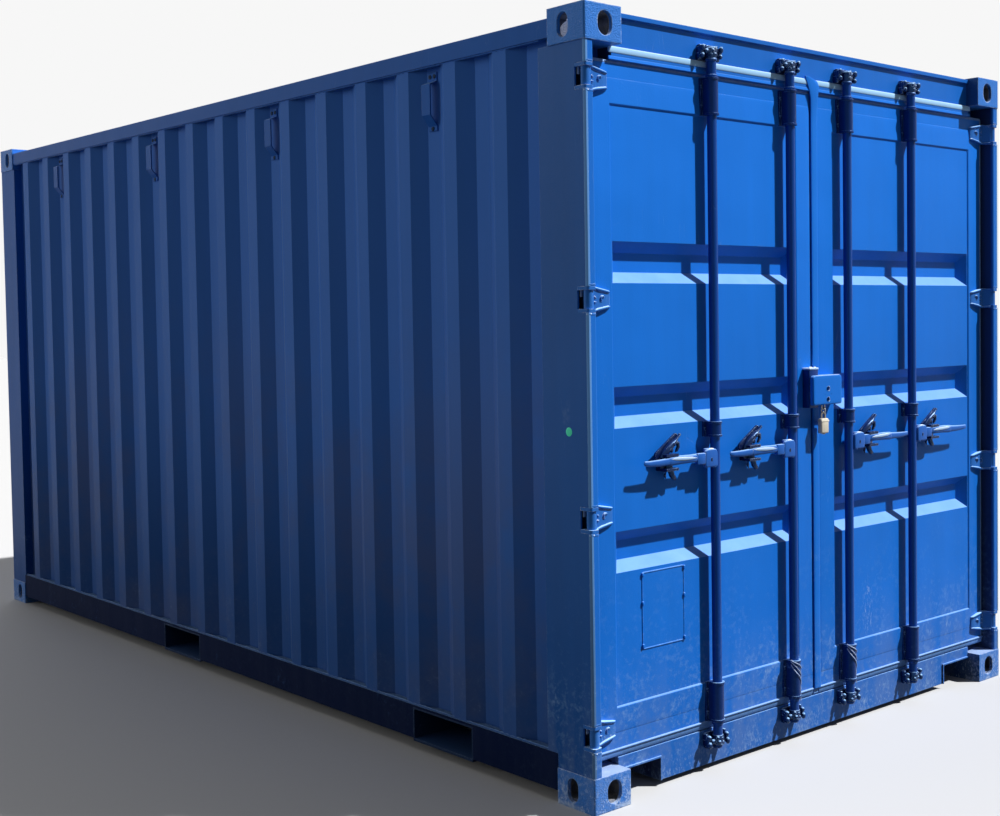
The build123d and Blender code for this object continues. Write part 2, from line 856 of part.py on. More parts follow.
# Hinge lugs: a pair of plates in each post notch, with the pin through them
with BuildPart() as hinge_lugs:
    for level in hinge_levels:
        for lug_base in (level - notch_height / 2, level + notch_height / 2 - lug_thickness):
            with BuildSketch(Plane.XY.offset(lug_base)) as lug_section:
                with BuildLine():
                    Polyline(
                        corner(frame_inset, post_front_depth),
                        corner(flange_inset, post_front_depth),
                        corner(flange_inset, notch_depth),
                        corner(frame_inset, notch_depth),
                        close=True,
                    )
                make_face()
                fillet(lug_section.vertices().group_by(Axis.Y)[0], radius=post_edge_radius)
            extrude(amount=lug_thickness)
        with BuildSketch(Plane.XY.offset(level - notch_height / 2)):
            with Locations(corner(pin_inset, pin_depth)):
                Circle(pin_radius)
        extrude(amount=notch_height)
    mirror(about=Plane.YZ)
hinge_lugs.part.label = "hinge_lugs"
export_step(hinge_lugs.part, "parts/hinge_lugs.step")


# Cam keepers: forked brackets on the header and the sill that hold the rod ends
keeper_bottom_level = sill_top - keeper_sill_gap - keeper_height
keeper_top_level = lip_top + keeper_lip_gap
with BuildPart() as cam_keepers:
    base_middle = -half_length + door_face_depth - keeper_plate / 2
    cheek_length = door_face_depth - keeper_front_depth
    cheek_middle = -half_length + keeper_front_depth + cheek_length / 2
    for level in (keeper_bottom_level, keeper_top_level):
        with BuildSketch(Plane.XY.offset(level)):
            for rod_x in rod_places:
                with Locations((rod_x, base_middle)):
                    Rectangle(keeper_width, keeper_plate)
                for side in (-1, 1):
                    cheek_x = rod_x + side * (keeper_width - keeper_cheek) / 2
                    with Locations((cheek_x, cheek_middle)):
                        Rectangle(keeper_cheek, cheek_length)
        extrude(amount=keeper_height)
    # Seen from the side, each cheek narrows towards its front
    keeper_span = rod_outer + keeper_width / 2
    with BuildSketch(Plane.YZ.offset(-keeper_span)):
        for level in (keeper_bottom_level, keeper_top_level):
            with BuildLine():
                Polyline(
                    lengthwise(door_face_depth, level),
                    lengthwise(keeper_front_depth + keeper_slope_depth, level),
                    lengthwise(keeper_front_depth, level + keeper_slope_rise),
                    lengthwise(keeper_front_depth, level + keeper_height - keeper_slope_rise),
                    lengthwise(keeper_front_depth + keeper_slope_depth, level + keeper_height),
                    lengthwise(door_face_depth, level + keeper_height),
                    close=True,
                )
            make_face()
    extrude(amount=2 * keeper_span, mode=Mode.INTERSECT)
cam_keepers.part.label = "cam_keepers"
export_step(cam_keepers.part, "parts/cam_keepers.step")


# The two door leaves
def leaf_edges(side):
    """Outer and inner X of a leaf."""
    inner = left_leaf_inner if side < 0 else right_leaf_inner
    return side * leaf_outer, inner


sleeves = (
    (leaf_bottom + sleeve_foot_gap, bottom_sleeve_height),
    (handle_level + sleeve_handle_rise, middle_sleeve_height),
    (leaf_top - sleeve_head_gap - top_sleeve_height, top_sleeve_height),
)
for side_name, side in (("left", -1), ("right", 1)):
    outer, inner = leaf_edges(side)
    panel_outer = outer - side * frame_outer_width
    panel_inner = side * frame_inner_edge

    with BuildPart() as door_frame:
        with BuildSketch(depth_plane(door_face_depth)):
            span_rectangle(outer, inner, leaf_bottom, leaf_top)
            span_rectangle(panel_outer, panel_inner, panel_bottom, panel_top, Mode.SUBTRACT)
        extrude(amount=-leaf_thickness)
    door_frame.part.label = f"{side_name}_door_frame"
    export_step(door_frame.part, f"parts/{side_name}_door_frame.step")

    # Panel: a sheet with three pressed grooves, sloped on all four sides
    panel_width = abs(panel_outer - panel_inner)
    panel_middle = (panel_outer + panel_inner) / 2
    groove_levels = [
        groove_middle + (index - (groove_count - 1) / 2) * groove_pitch for index in range(groove_count)
    ]
    with BuildPart() as door_panel:
        with BuildSketch(depth_plane(door_face_depth)):
            span_rectangle(panel_outer, panel_inner, panel_bottom, panel_top)
        extrude(amount=-panel_sheet)
        with BuildSketch(depth_plane(door_face_depth + panel_sheet)):
            for level in groove_levels:
                with Locations((panel_middle, level)):
                    Rectangle(panel_width, groove_height)
        extrude(amount=-groove_depth, taper=groove_taper)
        with BuildSketch(depth_plane(door_face_depth)):
            for level in groove_levels:
                with Locations((panel_middle, level)):
                    Rectangle(panel_width - 2 * panel_sheet, groove_height - panel_sheet)
        extrude(amount=-groove_depth, taper=groove_taper, mode=Mode.SUBTRACT)
    door_panel.part.label = f"{side_name}_door_panel"
    export_step(door_panel.part, f"parts/{side_name}_door_panel.step")

    # Gasket: a rubber ring round the back half of the leaf's edge, open towards the other door
    with BuildPart() as door_gasket:
        with BuildSketch(depth_plane(gasket_front)):
            span_rectangle(
                outer + side * gasket_reach, inner, leaf_bottom - gasket_drop, leaf_top + gasket_reach / 3
            )
            span_rectangle(outer, inner, leaf_bottom, leaf_top, Mode.SUBTRACT)
        extrude(amount=-(gasket_back - gasket_front))
    door_gasket.part.label = f"{side_name}_door_gasket"
    export_step(door_gasket.part, f"parts/{side_name}_door_gasket.step")

    # Hinge blades: knuckle, neck and tapered plate on the leaf's face
    plate_back = door_face_depth
    plate_front = door_face_depth - blade_thickness
    with BuildPart() as hinge_blades:
        for level in hinge_levels:
            with BuildSketch(Plane.XY.offset(level - blade_root_height / 2)):
                with Locations((side * pin_x, -half_length + pin_depth)):
                    Circle(knuckle_radius)
                with BuildLine():
                    Polyline(
                        (side * (pin_x - knuckle_radius * 0.5), -half_length + pin_depth - blade_thickness),
                        (side * (half_width - blade_start_inset), -half_length + plate_front),
                        (side * (half_width - blade_end_inset), -half_length + plate_front),
                        (side * (half_width - blade_end_inset), -half_length + plate_back),
                        (side * (half_width - blade_start_inset), -half_length + plate_back),
                        (side * (pin_x + knuckle_radius * 0.4), -half_length + pin_depth + blade_thickness),
                        close=True,
                    )
                make_face()
            extrude(amount=blade_root_height)
        with BuildSketch(depth_plane(0)):
            for level in hinge_levels:
                neck = notch_height / 2 - lug_thickness - knuckle_gap
                root = blade_root_height / 2
                tip = blade_tip_height / 2
                with BuildLine():
                    Polyline(
                        (side * (half_width - frame_inset), level - neck),
                        (side * (half_width - blade_start_inset), level - neck),
                        (side * (half_width - blade_root_inset), level - root),
                        (side * (half_width - blade_end_inset), level - tip),
                        (side * (half_width - blade_end_inset), level + tip),
                        (side * (half_width - blade_root_inset), level + root),
                        (side * (half_width - blade_start_inset), level + neck),
                        (side * (half_width - frame_inset), level + neck),
                        close=True,
                    )
                make_face()
        extrude(amount=-door_face_depth, mode=Mode.INTERSECT)
        with BuildSketch(Plane.XY):
            with Locations((side * pin_x, -half_length + pin_depth)):
                Circle(pin_radius + pin_fit)
        extrude(amount=height, mode=Mode.SUBTRACT)
        # The forged plate is thinner between its top and bottom edges
        pocket_root = half_width - blade_root_inset - blade_rib
        pocket_tip = half_width - blade_end_inset + blade_rib
        with BuildSketch(depth_plane(plate_front)):
            for level in hinge_levels:
                with BuildLine():
                    Polyline(
                        (side * pocket_root, level - root + blade_rib),
                        (side * pocket_tip, level - tip + blade_rib),
                        (side * pocket_tip, level + tip - blade_rib),
                        (side * pocket_root, level + root - blade_rib),
                        close=True,
                    )
                make_face()
        extrude(amount=-blade_pocket_depth, mode=Mode.SUBTRACT)
    hinge_blades.part.label = f"{side_name}_hinge_blades"
    export_step(hinge_blades.part, f"parts/{side_name}_hinge_blades.step")

    # Rod brackets: three sleeves on each of the leaf's two rods, with a collar at each end
    with BuildPart() as rod_brackets:
        base_y = -half_length + door_face_depth
        for base, tall in sleeves:
            with BuildSketch(Plane.XY.offset(base)):
                for rod_x in (side * rod_inner, side * rod_outer):
                    with Locations((rod_x, rod_y)):
                        Circle(sleeve_radius)
                    with Locations((rod_x, (rod_y + base_y) / 2)):
                        Rectangle(2 * sleeve_radius, base_y - rod_y)
                    with Locations((rod_x, base_y - sleeve_base_plate / 2)):
                        Rectangle(sleeve_base_width, sleeve_base_plate)
            extrude(amount=tall)
            for collar_base in (base, base + tall - sleeve_collar_height):
                with BuildSketch(Plane.XY.offset(collar_base)):
                    with Locations((side * rod_inner, rod_y), (side * rod_outer, rod_y)):
                        Circle(sleeve_collar_radius)
                extrude(amount=sleeve_collar_height)
        with BuildSketch(Plane.XY):
            with Locations((side * rod_inner, rod_y), (side * rod_outer, rod_y)):
                Circle(rod_radius + rod_fit)
        extrude(amount=height, mode=Mode.SUBTRACT)
    rod_brackets.part.label = f"{side_name}_rod_brackets"
    export_step(rod_brackets.part, f"parts/{side_name}_rod_brackets.step")

    # Handle catches: an open-fronted cradle behind each handle, with a leaning latch on top
    with BuildPart() as handle_catches:
        cradle_back = handle_bar_depth + handle_bar_thickness + catch_gap
        opening = handle_bar_height + 2 * catch_gap
        catch_offset = left_catch_offset if side < 0 else right_catch_offset
        for rod_x in (side * rod_inner, side * rod_outer):
            catch_x = rod_x + side * catch_offset
            with BuildSketch(Plane.YZ.offset(catch_x - catch_width / 2)):
                with BuildLine():
                    Polyline(
                        lengthwise(door_face_depth, handle_level - opening / 2 - catch_arm),
                        lengthwise(catch_arm_front, handle_level - opening / 2 - catch_arm),
                        lengthwise(catch_arm_front, handle_level - opening / 2),
                        lengthwise(cradle_back, handle_level - opening / 2),
                        lengthwise(cradle_back, handle_level + opening / 2),
                        lengthwise(catch_arm_front, handle_level + opening / 2),
                        lengthwise(catch_arm_front, handle_level + opening / 2 + catch_arm),
                        lengthwise(door_face_depth, handle_level + opening / 2 + catch_arm),
                        close=True,
                    )
                make_face()
            extrude(amount=catch_width)
            latch_centre = Location((catch_x, handle_level + latch_rise), latch_angle)
            with BuildSketch(depth_plane(cradle_back)):
                with Locations(latch_centre):
                    with Locations((latch_foot_radius - latch_length / 2, 0)):
                        Circle(latch_foot_radius)
                    with Locations((latch_length / 2 - latch_tip_radius, 0)):
                        Circle(latch_tip_radius)
                make_hull()
            extrude(amount=-latch_thickness)
    handle_catches.part.label = f"{side_name}_handle_catches"
    export_step(handle_catches.part, f"parts/{side_name}_handle_catches.step")


# Overlap strip up the closing edge of the right leaf
with BuildPart() as closing_strip:
    with BuildSketch(depth_plane(door_face_depth - strip_proud)):
        span_rectangle(strip_left, strip_right, leaf_bottom, leaf_top)
    extrude(amount=-strip_proud)
closing_strip.part.label = "closing_strip"
export_step(closing_strip.part, "parts/closing_strip.step")


# Lock rods: a cam at each end, and a ring just past the outer end of each end bracket
cam_levels = (keeper_bottom_level + keeper_cam_gap, keeper_top_level + keeper_cam_gap)
ring_levels = (
    leaf_bottom + sleeve_foot_gap - ring_gap - ring_height,
    leaf_top - sleeve_head_gap + ring_gap,
)
for number, rod_x in enumerate(rod_places, start=1):
    outboard = -1 if rod_x < 0 else 1
    with BuildPart() as lock_rod:
        with BuildSketch(Plane.XY.offset(cam_levels[0] - rod_end)):
            with Locations((rod_x, rod_y)):
                Circle(rod_radius)
        extrude(amount=cam_levels[1] - cam_levels[0] + cam_height + 2 * rod_end)
        for base in ring_levels:
            with BuildSketch(Plane.XY.offset(base)):
                with Locations((rod_x, rod_y)):
                    Circle(ring_radius)
            extrude(amount=ring_height)
        # Each cam is a hub with a long nose above and below, and a short lobe to the front between
        for base in cam_levels:
            with BuildSketch(Plane.XY.offset(base)):
                with Locations((rod_x, rod_y)):
                    Circle(cam_hub_radius)
            extrude(amount=cam_height)
            for lobe_base in (base, base + cam_height - cam_lobe_height):
                with BuildSketch(Plane.XY.offset(lobe_base)):
                    with Locations((rod_x, rod_y)):
                        Circle(cam_hub_radius)
                    with Locations((rod_x + outboard * (cam_reach - cam_nose_radius), rod_y)):
                        Circle(cam_nose_radius)
                    make_hull()
                extrude(amount=cam_lobe_height)
            with BuildSketch(Plane.XY.offset(base + cam_lobe_height)):
                with Locations((rod_x, rod_y)):
                    Circle(cam_hub_radius)
                with Locations((rod_x, rod_y - cam_lobe_reach + cam_nose_radius)):
                    Circle(cam_nose_radius)
                make_hull()
            extrude(amount=cam_height - 2 * cam_lobe_height)
    lock_rod.part.label = f"lock_rod_{number}"
    export_step(lock_rod.part, f"parts/lock_rod_{number}.step")

    # Handle: a bevelled bar that cranks forward into a grip, on a rounded hub clamped to the rod
    bar_bottom = handle_level - handle_bar_height / 2
    bar_top = handle_level + handle_bar_height / 2
    bar_back = handle_bar_depth + handle_bar_thickness
    grip_back = handle_grip_depth + handle_bar_thickness
    grip_start = handle_grip_start - handle_crank
    with BuildPart() as lock_handle:
        with BuildSketch(Plane.XY.offset(bar_bottom)):
            with BuildLine():
                Polyline(
                    *[
                        (rod_x + outboard * reach, -half_length + depth)
                        for reach, depth in (
                            (handle_hub_start, handle_bar_depth),
                            (grip_start, handle_bar_depth),
                            (handle_grip_start, handle_grip_depth),
                            (handle_length, handle_grip_depth),
                            (handle_length, grip_back),
                            (handle_grip_start, grip_back),
                            (grip_start, bar_back),
                            (handle_hub_start, bar_back),
                        )
                    ],
                    close=True,
                )
            make_face()
        extrude(amount=handle_bar_height)
        with BuildSketch(Plane.YZ.offset(rod_x)):
            with BuildLine():
                Polyline(
                    lengthwise(handle_bar_depth, bar_top),
                    lengthwise(bar_back - handle_bar_flat, bar_top),
                    lengthwise(handle_bar_depth, bar_top - handle_bar_bevel),
                    close=True,
                )
            make_face()
        extrude(amount=outboard * grip_start, mode=Mode.SUBTRACT)
        hub_middle = rod_x + outboard * (handle_hub_start + handle_hub_end) / 2
        with BuildSketch(depth_plane(handle_hub_front)) as hub_face:
            with Locations((hub_middle, handle_level)):
                Rectangle(handle_hub_end - handle_hub_start, handle_hub_height)
            fillet(hub_face.vertices().group_by(Axis.Y)[-1], radius=handle_hub_corner)
        extrude(amount=-(rod_depth + rod_radius - handle_hub_front))
        with BuildSketch(Plane.XY.offset(handle_level - handle_hub_height / 2)):
            with Locations((rod_x, rod_y)):
                Circle(handle_eye_radius)
        extrude(amount=handle_hub_height)
        with BuildSketch(Plane.XY):
            with Locations((rod_x, rod_y)):
                Circle(rod_radius + rod_fit)
        extrude(amount=height, mode=Mode.SUBTRACT)
        with BuildSketch(depth_plane(handle_hub_front)):
            with Locations((hub_middle, handle_level)):
                Circle(handle_pivot_radius)
        extrude(amount=-handle_pivot_deep, mode=Mode.SUBTRACT)
        tip_x = rod_x + outboard * handle_length
        with BuildSketch(depth_plane(0)):
            with Locations((tip_x, bar_top), (tip_x, bar_bottom)):
                Rectangle(handle_grip_corner, handle_grip_corner, rotation=45)
        extrude(amount=-bar_back, mode=Mode.SUBTRACT)
    lock_handle.part.label = f"lock_handle_{number}"
    export_step(lock_handle.part, f"parts/lock_handle_{number}.step")


# Lock box: one half on each leaf, meeting over the gap between them
box_bottom = handle_level + box_rise
cover_bottom = box_bottom + cover_rise
with BuildPart() as lock_box_left:
    with BuildSketch(depth_plane(box_front_depth)):
        span_rectangle(box_left_edge, left_leaf_inner, box_bottom, box_bottom + box_height)
    extrude(amount=-(door_face_depth - box_front_depth))
    with BuildSketch(depth_plane(box_front_depth + box_wall)):
        span_rectangle(
            box_left_edge + box_wall,
            left_leaf_inner,
            box_bottom + box_wall,
            box_bottom + box_height - box_wall,
        )
    extrude(amount=-(door_face_depth - box_front_depth - box_wall), mode=Mode.SUBTRACT)
lock_box_left.part.label = "lock_box_left"
export_step(lock_box_left.part, "parts/lock_box_left.step")

with BuildPart() as lock_box_right:
    cover_left = strip_left
    with BuildSketch(depth_plane(cover_front_depth)) as cover_face:
        span_rectangle(cover_left, cover_right_edge, cover_bottom, cover_bottom + cover_height)
        right_corners = cover_face.vertices().group_by(Axis.X)[-1]
        fillet(right_corners.sort_by(Axis.Y)[-1:], radius=cover_corner_radius)
    extrude(amount=-(door_face_depth - cover_front_depth))
    with BuildSketch(depth_plane(cover_front_depth + box_wall)):
        span_rectangle(
            cover_left,
            cover_right_edge - box_wall,
            cover_bottom + box_wall,
            cover_bottom + cover_height - box_wall,
        )
    extrude(amount=-door_face_depth, mode=Mode.SUBTRACT)
    with BuildSketch(depth_plane(0)):
        for rise in (cover_low_hole, cover_high_hole):
            with Locations((cover_hole_x, cover_bottom + rise)):
                Circle(cover_hole_radius)
    extrude(amount=-(cover_front_depth + box_wall), mode=Mode.SUBTRACT)
    with BuildSketch(depth_plane(door_face_depth - strip_proud)):
        span_rectangle(strip_left, strip_right, cover_bottom, cover_bottom + cover_height)
    extrude(amount=-strip_proud, mode=Mode.SUBTRACT)
    with BuildSketch(Plane.XY.offset(cover_bottom)):
        for side in (-1, 1):
            leg_y = -half_length + padlock_depth + padlock_thickness / 2
            with Locations((padlock_x + side * shackle_radius, leg_y)):
                Circle(shackle_wire + shackle_hole_gap)
    extrude(amount=box_wall, mode=Mode.SUBTRACT)
lock_box_right.part.label = "lock_box_right"
export_step(lock_box_right.part, "parts/lock_box_right.step")


# Padlock under the lock box, its shackle up inside the cover
padlock_bottom = cover_bottom - padlock_drop - padlock_height
with BuildPart() as padlock:
    with BuildSketch(depth_plane(padlock_depth)):
        with Locations((padlock_x, padlock_bottom + padlock_height / 2)):
            RectangleRounded(padlock_width, padlock_height, padlock_height / 8)
    extrude(amount=-padlock_thickness)
    shackle_y = -half_length + padlock_depth + padlock_thickness / 2
    shackle_base = padlock_bottom + padlock_height
    shackle_inner = shackle_radius - shackle_wire
    bridge_half = shackle_radius - shackle_wire - shackle_hole_gap
    seat_rise = (shackle_inner**2 - bridge_half**2) ** 0.5
    shackle_spring = cover_bottom + box_wall - seat_rise + shackle_seat_gap
    with BuildLine() as shackle_path:
        leg_a = Line(
            (padlock_x - shackle_radius, shackle_y, shackle_base),
            (padlock_x - shackle_radius, shackle_y, shackle_spring),
        )
        bow = ThreePointArc(
            leg_a @ 1,
            (padlock_x, shackle_y, shackle_spring + shackle_radius),
            (padlock_x + shackle_radius, shackle_y, shackle_spring),
        )
        Line(bow @ 1, (padlock_x + shackle_radius, shackle_y, shackle_base))
    with BuildSketch(Plane.XY.offset(shackle_base)):
        with Locations((padlock_x - shackle_radius, shackle_y)):
            Circle(shackle_wire)
    sweep(path=shackle_path.wires()[0])
padlock.part.label = "padlock"
export_step(padlock.part, "parts/padlock.step")


# Document holder: a thin frame on the left door's bottom panel
holder_left = -leaf_outer + frame_outer_width + holder_side_gap
holder_right = holder_left + holder_width
holder_bottom = panel_bottom + holder_rise
holder_top = holder_bottom + holder_height
with BuildPart() as document_holder:
    with BuildSketch(depth_plane(door_face_depth - holder_thickness)):
        span_rectangle(holder_left, holder_right, holder_bottom, holder_top)
        span_rectangle(
            holder_left + holder_bar,
            holder_right - holder_bar,
            holder_bottom + holder_bar,
            holder_top - holder_bar,
            Mode.SUBTRACT,
        )
    extrude(amount=-holder_thickness)
document_holder.part.label = "document_holder"
export_step(document_holder.part, "parts/document_holder.step")
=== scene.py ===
"""Dresses a short blue steel freight container: paint, fastenings, locking gear and light."""

import logging
import math
from dataclasses import dataclass
from enum import Enum
from typing import Any, Iterable, Iterator, Sequence

import bmesh
import bpy
import numpy as np
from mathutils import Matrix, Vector


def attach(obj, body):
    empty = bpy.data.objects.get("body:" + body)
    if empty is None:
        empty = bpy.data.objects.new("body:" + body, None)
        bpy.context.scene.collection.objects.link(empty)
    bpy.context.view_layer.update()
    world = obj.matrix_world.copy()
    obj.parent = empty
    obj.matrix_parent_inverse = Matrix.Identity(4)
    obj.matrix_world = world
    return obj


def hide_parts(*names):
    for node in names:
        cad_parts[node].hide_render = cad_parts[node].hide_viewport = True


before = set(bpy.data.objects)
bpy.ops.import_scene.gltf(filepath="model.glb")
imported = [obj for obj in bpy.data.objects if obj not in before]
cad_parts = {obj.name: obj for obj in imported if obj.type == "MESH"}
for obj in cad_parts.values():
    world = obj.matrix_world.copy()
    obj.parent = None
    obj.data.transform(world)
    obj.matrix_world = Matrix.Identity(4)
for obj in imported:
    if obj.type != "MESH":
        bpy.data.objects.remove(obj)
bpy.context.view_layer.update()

LOG = logging.getLogger("container")
MM = 0.001
HALF_WIDTH = 1219.0
HALF_LENGTH = 2475.0
HEIGHT = 2591.0
SIDES = (-1, 1)
OUT = (0.0, -1.0, 0.0)

# Places that several pieces share, in millimetres; X is the right door's
RODS = (172.0, 599.0)
ROD_DEPTH = 27.0
LEAF_FACE = 57.0
HINGE_LEVELS = (245.0, 950.0, 1655.0, 2360.0)

Colour = tuple[float, float, float]
Pair = tuple[float, float]
Place = tuple[float, float, float]


def linear(red: int, green: int, blue: int) -> Colour:
    """Turns a screen colour into a linear one.

    Args:
        red, green, blue: the screen colour, 0 to 255.

    Returns:
        The same colour in linear light, 0 to 1.
    """
    c = np.array([red, green, blue], float) / 255.0
    out = np.where(c <= 0.04045, c / 12.92, ((c + 0.055) / 1.055) ** 2.4)
    return (float(out[0]), float(out[1]), float(out[2]))


def at(depth: float) -> float:
    """Y in millimetres of a point that lies depth behind the door end's front plane."""
    return depth - HALF_LENGTH


# Shapes


@dataclass(frozen=True)
class Surface:
    """A mesh in millimetres: points as rows, and groups of faces with equally many corners."""

    points: np.ndarray
    groups: tuple[np.ndarray, ...]

    def moved(self, x: float = 0.0, y: float = 0.0, z: float = 0.0) -> "Surface":
        """The same mesh, shifted."""
        return Surface(self.points + np.array([x, y, z], float), self.groups)

    def turned(self, matrix: np.ndarray) -> "Surface":
        """The same mesh with each point multiplied by a 3 x 3 turning matrix."""
        return Surface(self.points @ np.asarray(matrix, float).T, self.groups)

    def mirrored(self) -> "Surface":
        """The mesh reflected in the plane X = 0, with its faces wound back outwards."""
        flipped = self.points * np.array([-1.0, 1.0, 1.0])
        return Surface(flipped, tuple(g[:, ::-1] for g in self.groups))

    def reversed(self) -> "Surface":
        """The same mesh with its faces turned to the other side."""
        return Surface(self.points, tuple(g[:, ::-1] for g in self.groups))

    def facing_out(self) -> "Surface":
        """The mesh turned so that its top looks out of the door end."""
        return self.turned(turn("X", 90))

    def sided(self, left: bool) -> "Surface":
        """The mesh, mirrored where it is for the left."""
        return self.mirrored() if left else self

    def doubled(self) -> "Surface":
        """The mesh and its mirror image."""
        return Surface.joined([self, self.mirrored()])

    def capped(self, ring: int) -> "Surface":
        """The mesh with a face over its first ring of points and one over its last."""
        corners = np.arange(ring)
        caps = np.array([corners[::-1], len(self.points) - ring + corners])
        return Surface(self.points, (*self.groups, caps))

    def placed(self, places: Iterable[Sequence[float]]) -> "Surface":
        """Copies of the mesh, one at each place, joined.

        Args:
            places: the shifts of the copies.

        Returns:
            One mesh, point i of copy k being the point i plus place k.
        """
        shifts = np.asarray(list(places), float)
        count = len(self.points)
        points = (shifts[:, None, :] + self.points[None, :, :]).reshape(-1, 3)
        steps = np.arange(len(shifts)) * count
        groups = tuple(
            (steps[:, None, None] + g[None, :, :]).reshape(-1, g.shape[1]) for g in self.groups
        )
        return Surface(points, groups)

    @staticmethod
    def joined(parts: Sequence["Surface"]) -> "Surface":
        """All the parts as one mesh."""
        points, groups, start = [], [], 0
        for part in parts:
            points.append(part.points)
            groups.extend(g + start for g in part.groups)
            start += len(part.points)
        return Surface(np.concatenate(points), tuple(groups))


def grid(points: np.ndarray, close_u: bool = False, close_v: bool = False) -> Surface:
    """A surface over a grid of points: point (u, v) is joined to its neighbours by quads.

    Args:
        points: an array of shape (u, v, 3).
        close_u: whether the last row meets the first.
        close_v: whether the last column meets the first.

    Returns:
        The quad mesh.
    """
    n, m = points.shape[:2]
    rows = np.arange(n if close_u else n - 1)
    cols = np.arange(m if close_v else m - 1)
    i, j = np.meshgrid(rows, cols, indexing="ij")
    a = i * m + j
    b = ((i + 1) % n) * m + j
    c = ((i + 1) % n) * m + (j + 1) % m
    d = i * m + (j + 1) % m
    quads = np.stack([a, b, c, d], axis=-1).reshape(-1, 4)
    return Surface(points.reshape(-1, 3), (quads,))


def lathe(profile: Sequence[Pair], sides: int = 24) -> Surface:
    """A profile of (radius, height) pairs turned round the Z axis.

    The point at angle a and step k is (r_k cos a, r_k sin a, h_k). Profiles run from the bottom up.

    Args:
        profile: radius and height of each ring; a radius of 0 closes an end.
        sides: the number of steps round.

    Returns:
        The turned mesh, faces outwards.
    """
    r, h = np.asarray(profile, float).T
    a = np.arange(sides) * 2 * np.pi / sides
    x = np.outer(np.cos(a), r)
    y = np.outer(np.sin(a), r)
    z = np.broadcast_to(h, x.shape)
    return grid(np.stack([x, y, z], axis=-1), close_u=True)


def sweep(profile: Sequence[Pair], path: Sequence[Sequence[float]],
          closed: bool = False) -> Surface:
    """A closed profile carried along a path that lies in an upright plane across the container.

    At path point p the profile's (a, b) goes to p + a * across + b * OUT, where across is OUT
    crossed with the path's direction, lengthened at a corner so that the runs keep their width.

    Args:
        profile: the outline as (across, outwards) pairs, anticlockwise.
        path: the points of the path.
        closed: whether the path's end meets its start; otherwise it gets flat ends.

    Returns:
        The closed mesh.
    """
    p = np.asarray(path, float)
    if closed:
        before, after = p - np.roll(p, 1, axis=0), np.roll(p, -1, axis=0) - p
    else:
        step = np.diff(p, axis=0)
        before, after = np.vstack([step[:1], step]), np.vstack([step, step[-1:]])
    before = before / np.linalg.norm(before, axis=1, keepdims=True)
    after = after / np.linalg.norm(after, axis=1, keepdims=True)
    n0, n1 = np.cross(OUT, before), np.cross(OUT, after)
    across = (n0 + n1) / (1.0 + np.sum(n0 * n1, axis=1, keepdims=True))
    a, b = np.asarray(profile, float).T
    points = p[:, None, :] + a[:, None] * across[:, None, :] + b[:, None] * np.array(OUT)
    body = grid(points, close_u=closed, close_v=True).reversed()
    return body if closed else body.capped(len(a))


def rounded_box(low: Sequence[float], high: Sequence[float], radius: float,
                steps: int = 2) -> Surface:
    """A box with rounded edges: an eighth of a ball at each corner, joined by straight runs.

    A point is sign * (half size - radius) + radius * direction, for directions over a ball.

    Args:
        low, high: the box's corners.
        radius: the radius of its edges.
        steps: steps to a quarter turn.

    Returns:
        The closed mesh.
    """
    low, high = np.asarray(low, float), np.asarray(high, float)
    half = (high - low) / 2.0
    quarter = np.linspace(0.0, np.pi / 2, steps + 1)
    u = np.concatenate([quarter + k * np.pi / 2 for k in range(4)])
    su = np.repeat([[1, 1], [-1, 1], [-1, -1], [1, -1]], steps + 1, axis=0)
    v = np.concatenate([quarter - np.pi / 2, quarter])
    sv = np.repeat([-1, 1], steps + 1)
    ball = np.stack([
        np.outer(np.cos(u), np.cos(v)), np.outer(np.sin(u), np.cos(v)),
        np.broadcast_to(np.sin(v), (len(u), len(v)))], axis=-1)
    signs = np.stack([
        np.broadcast_to(su[:, :1], ball.shape[:2]), np.broadcast_to(su[:, 1:], ball.shape[:2]),
        np.broadcast_to(sv, ball.shape[:2])], axis=-1)
    points = (low + high) / 2.0 + signs * (half - radius) + radius * ball
    body = grid(points, close_u=True)
    m = len(v)
    ring = np.arange(4) * (steps + 1) * m
    caps = np.array([ring[::-1], ring + m - 1])
    return Surface(body.points, body.groups + (caps,))


def limb(points: Sequence[Sequence[float]], widths: Sequence[float],
         depths: Sequence[float], sides: int = 10) -> Surface:
    """A forged arm in an upright plane: an ellipse carried along a path, swelling and closing.

    At path point p with half width w and half depth d, a ring's point at angle t is
    p + w cos t across + d sin t OUT, across being square to the path in that plane.

    Args:
        points: the path.
        widths: half the arm's width at each point; 0 at an end closes it.
        depths: half its depth at each point.
        sides: points to a ring.

    Returns:
        The closed mesh.
    """
    p = np.asarray(points, float)
    w, d = np.asarray(widths, float), np.asarray(depths, float)
    along = np.gradient(p, axis=0)
    along /= np.linalg.norm(along, axis=1, keepdims=True)
    across = np.cross(along, OUT)
    t = np.arange(sides) * 2 * np.pi / sides
    rings = (p[:, None, :] + (w[:, None] * np.cos(t))[:, :, None] * across[:, None, :]
             + (d[:, None] * np.sin(t))[:, :, None] * np.array(OUT))
    return grid(rings, close_v=True)


def forged(rows: Sequence[Sequence[float]], depth: float, sides: int = 10) -> Surface:
    """A limb at one depth, from rows of X, Z, half width and half depth."""
    x, z, widths, depths = np.asarray(rows, float).T
    return limb(at_depth(np.stack([x, z], axis=-1), depth), widths, depths, sides)


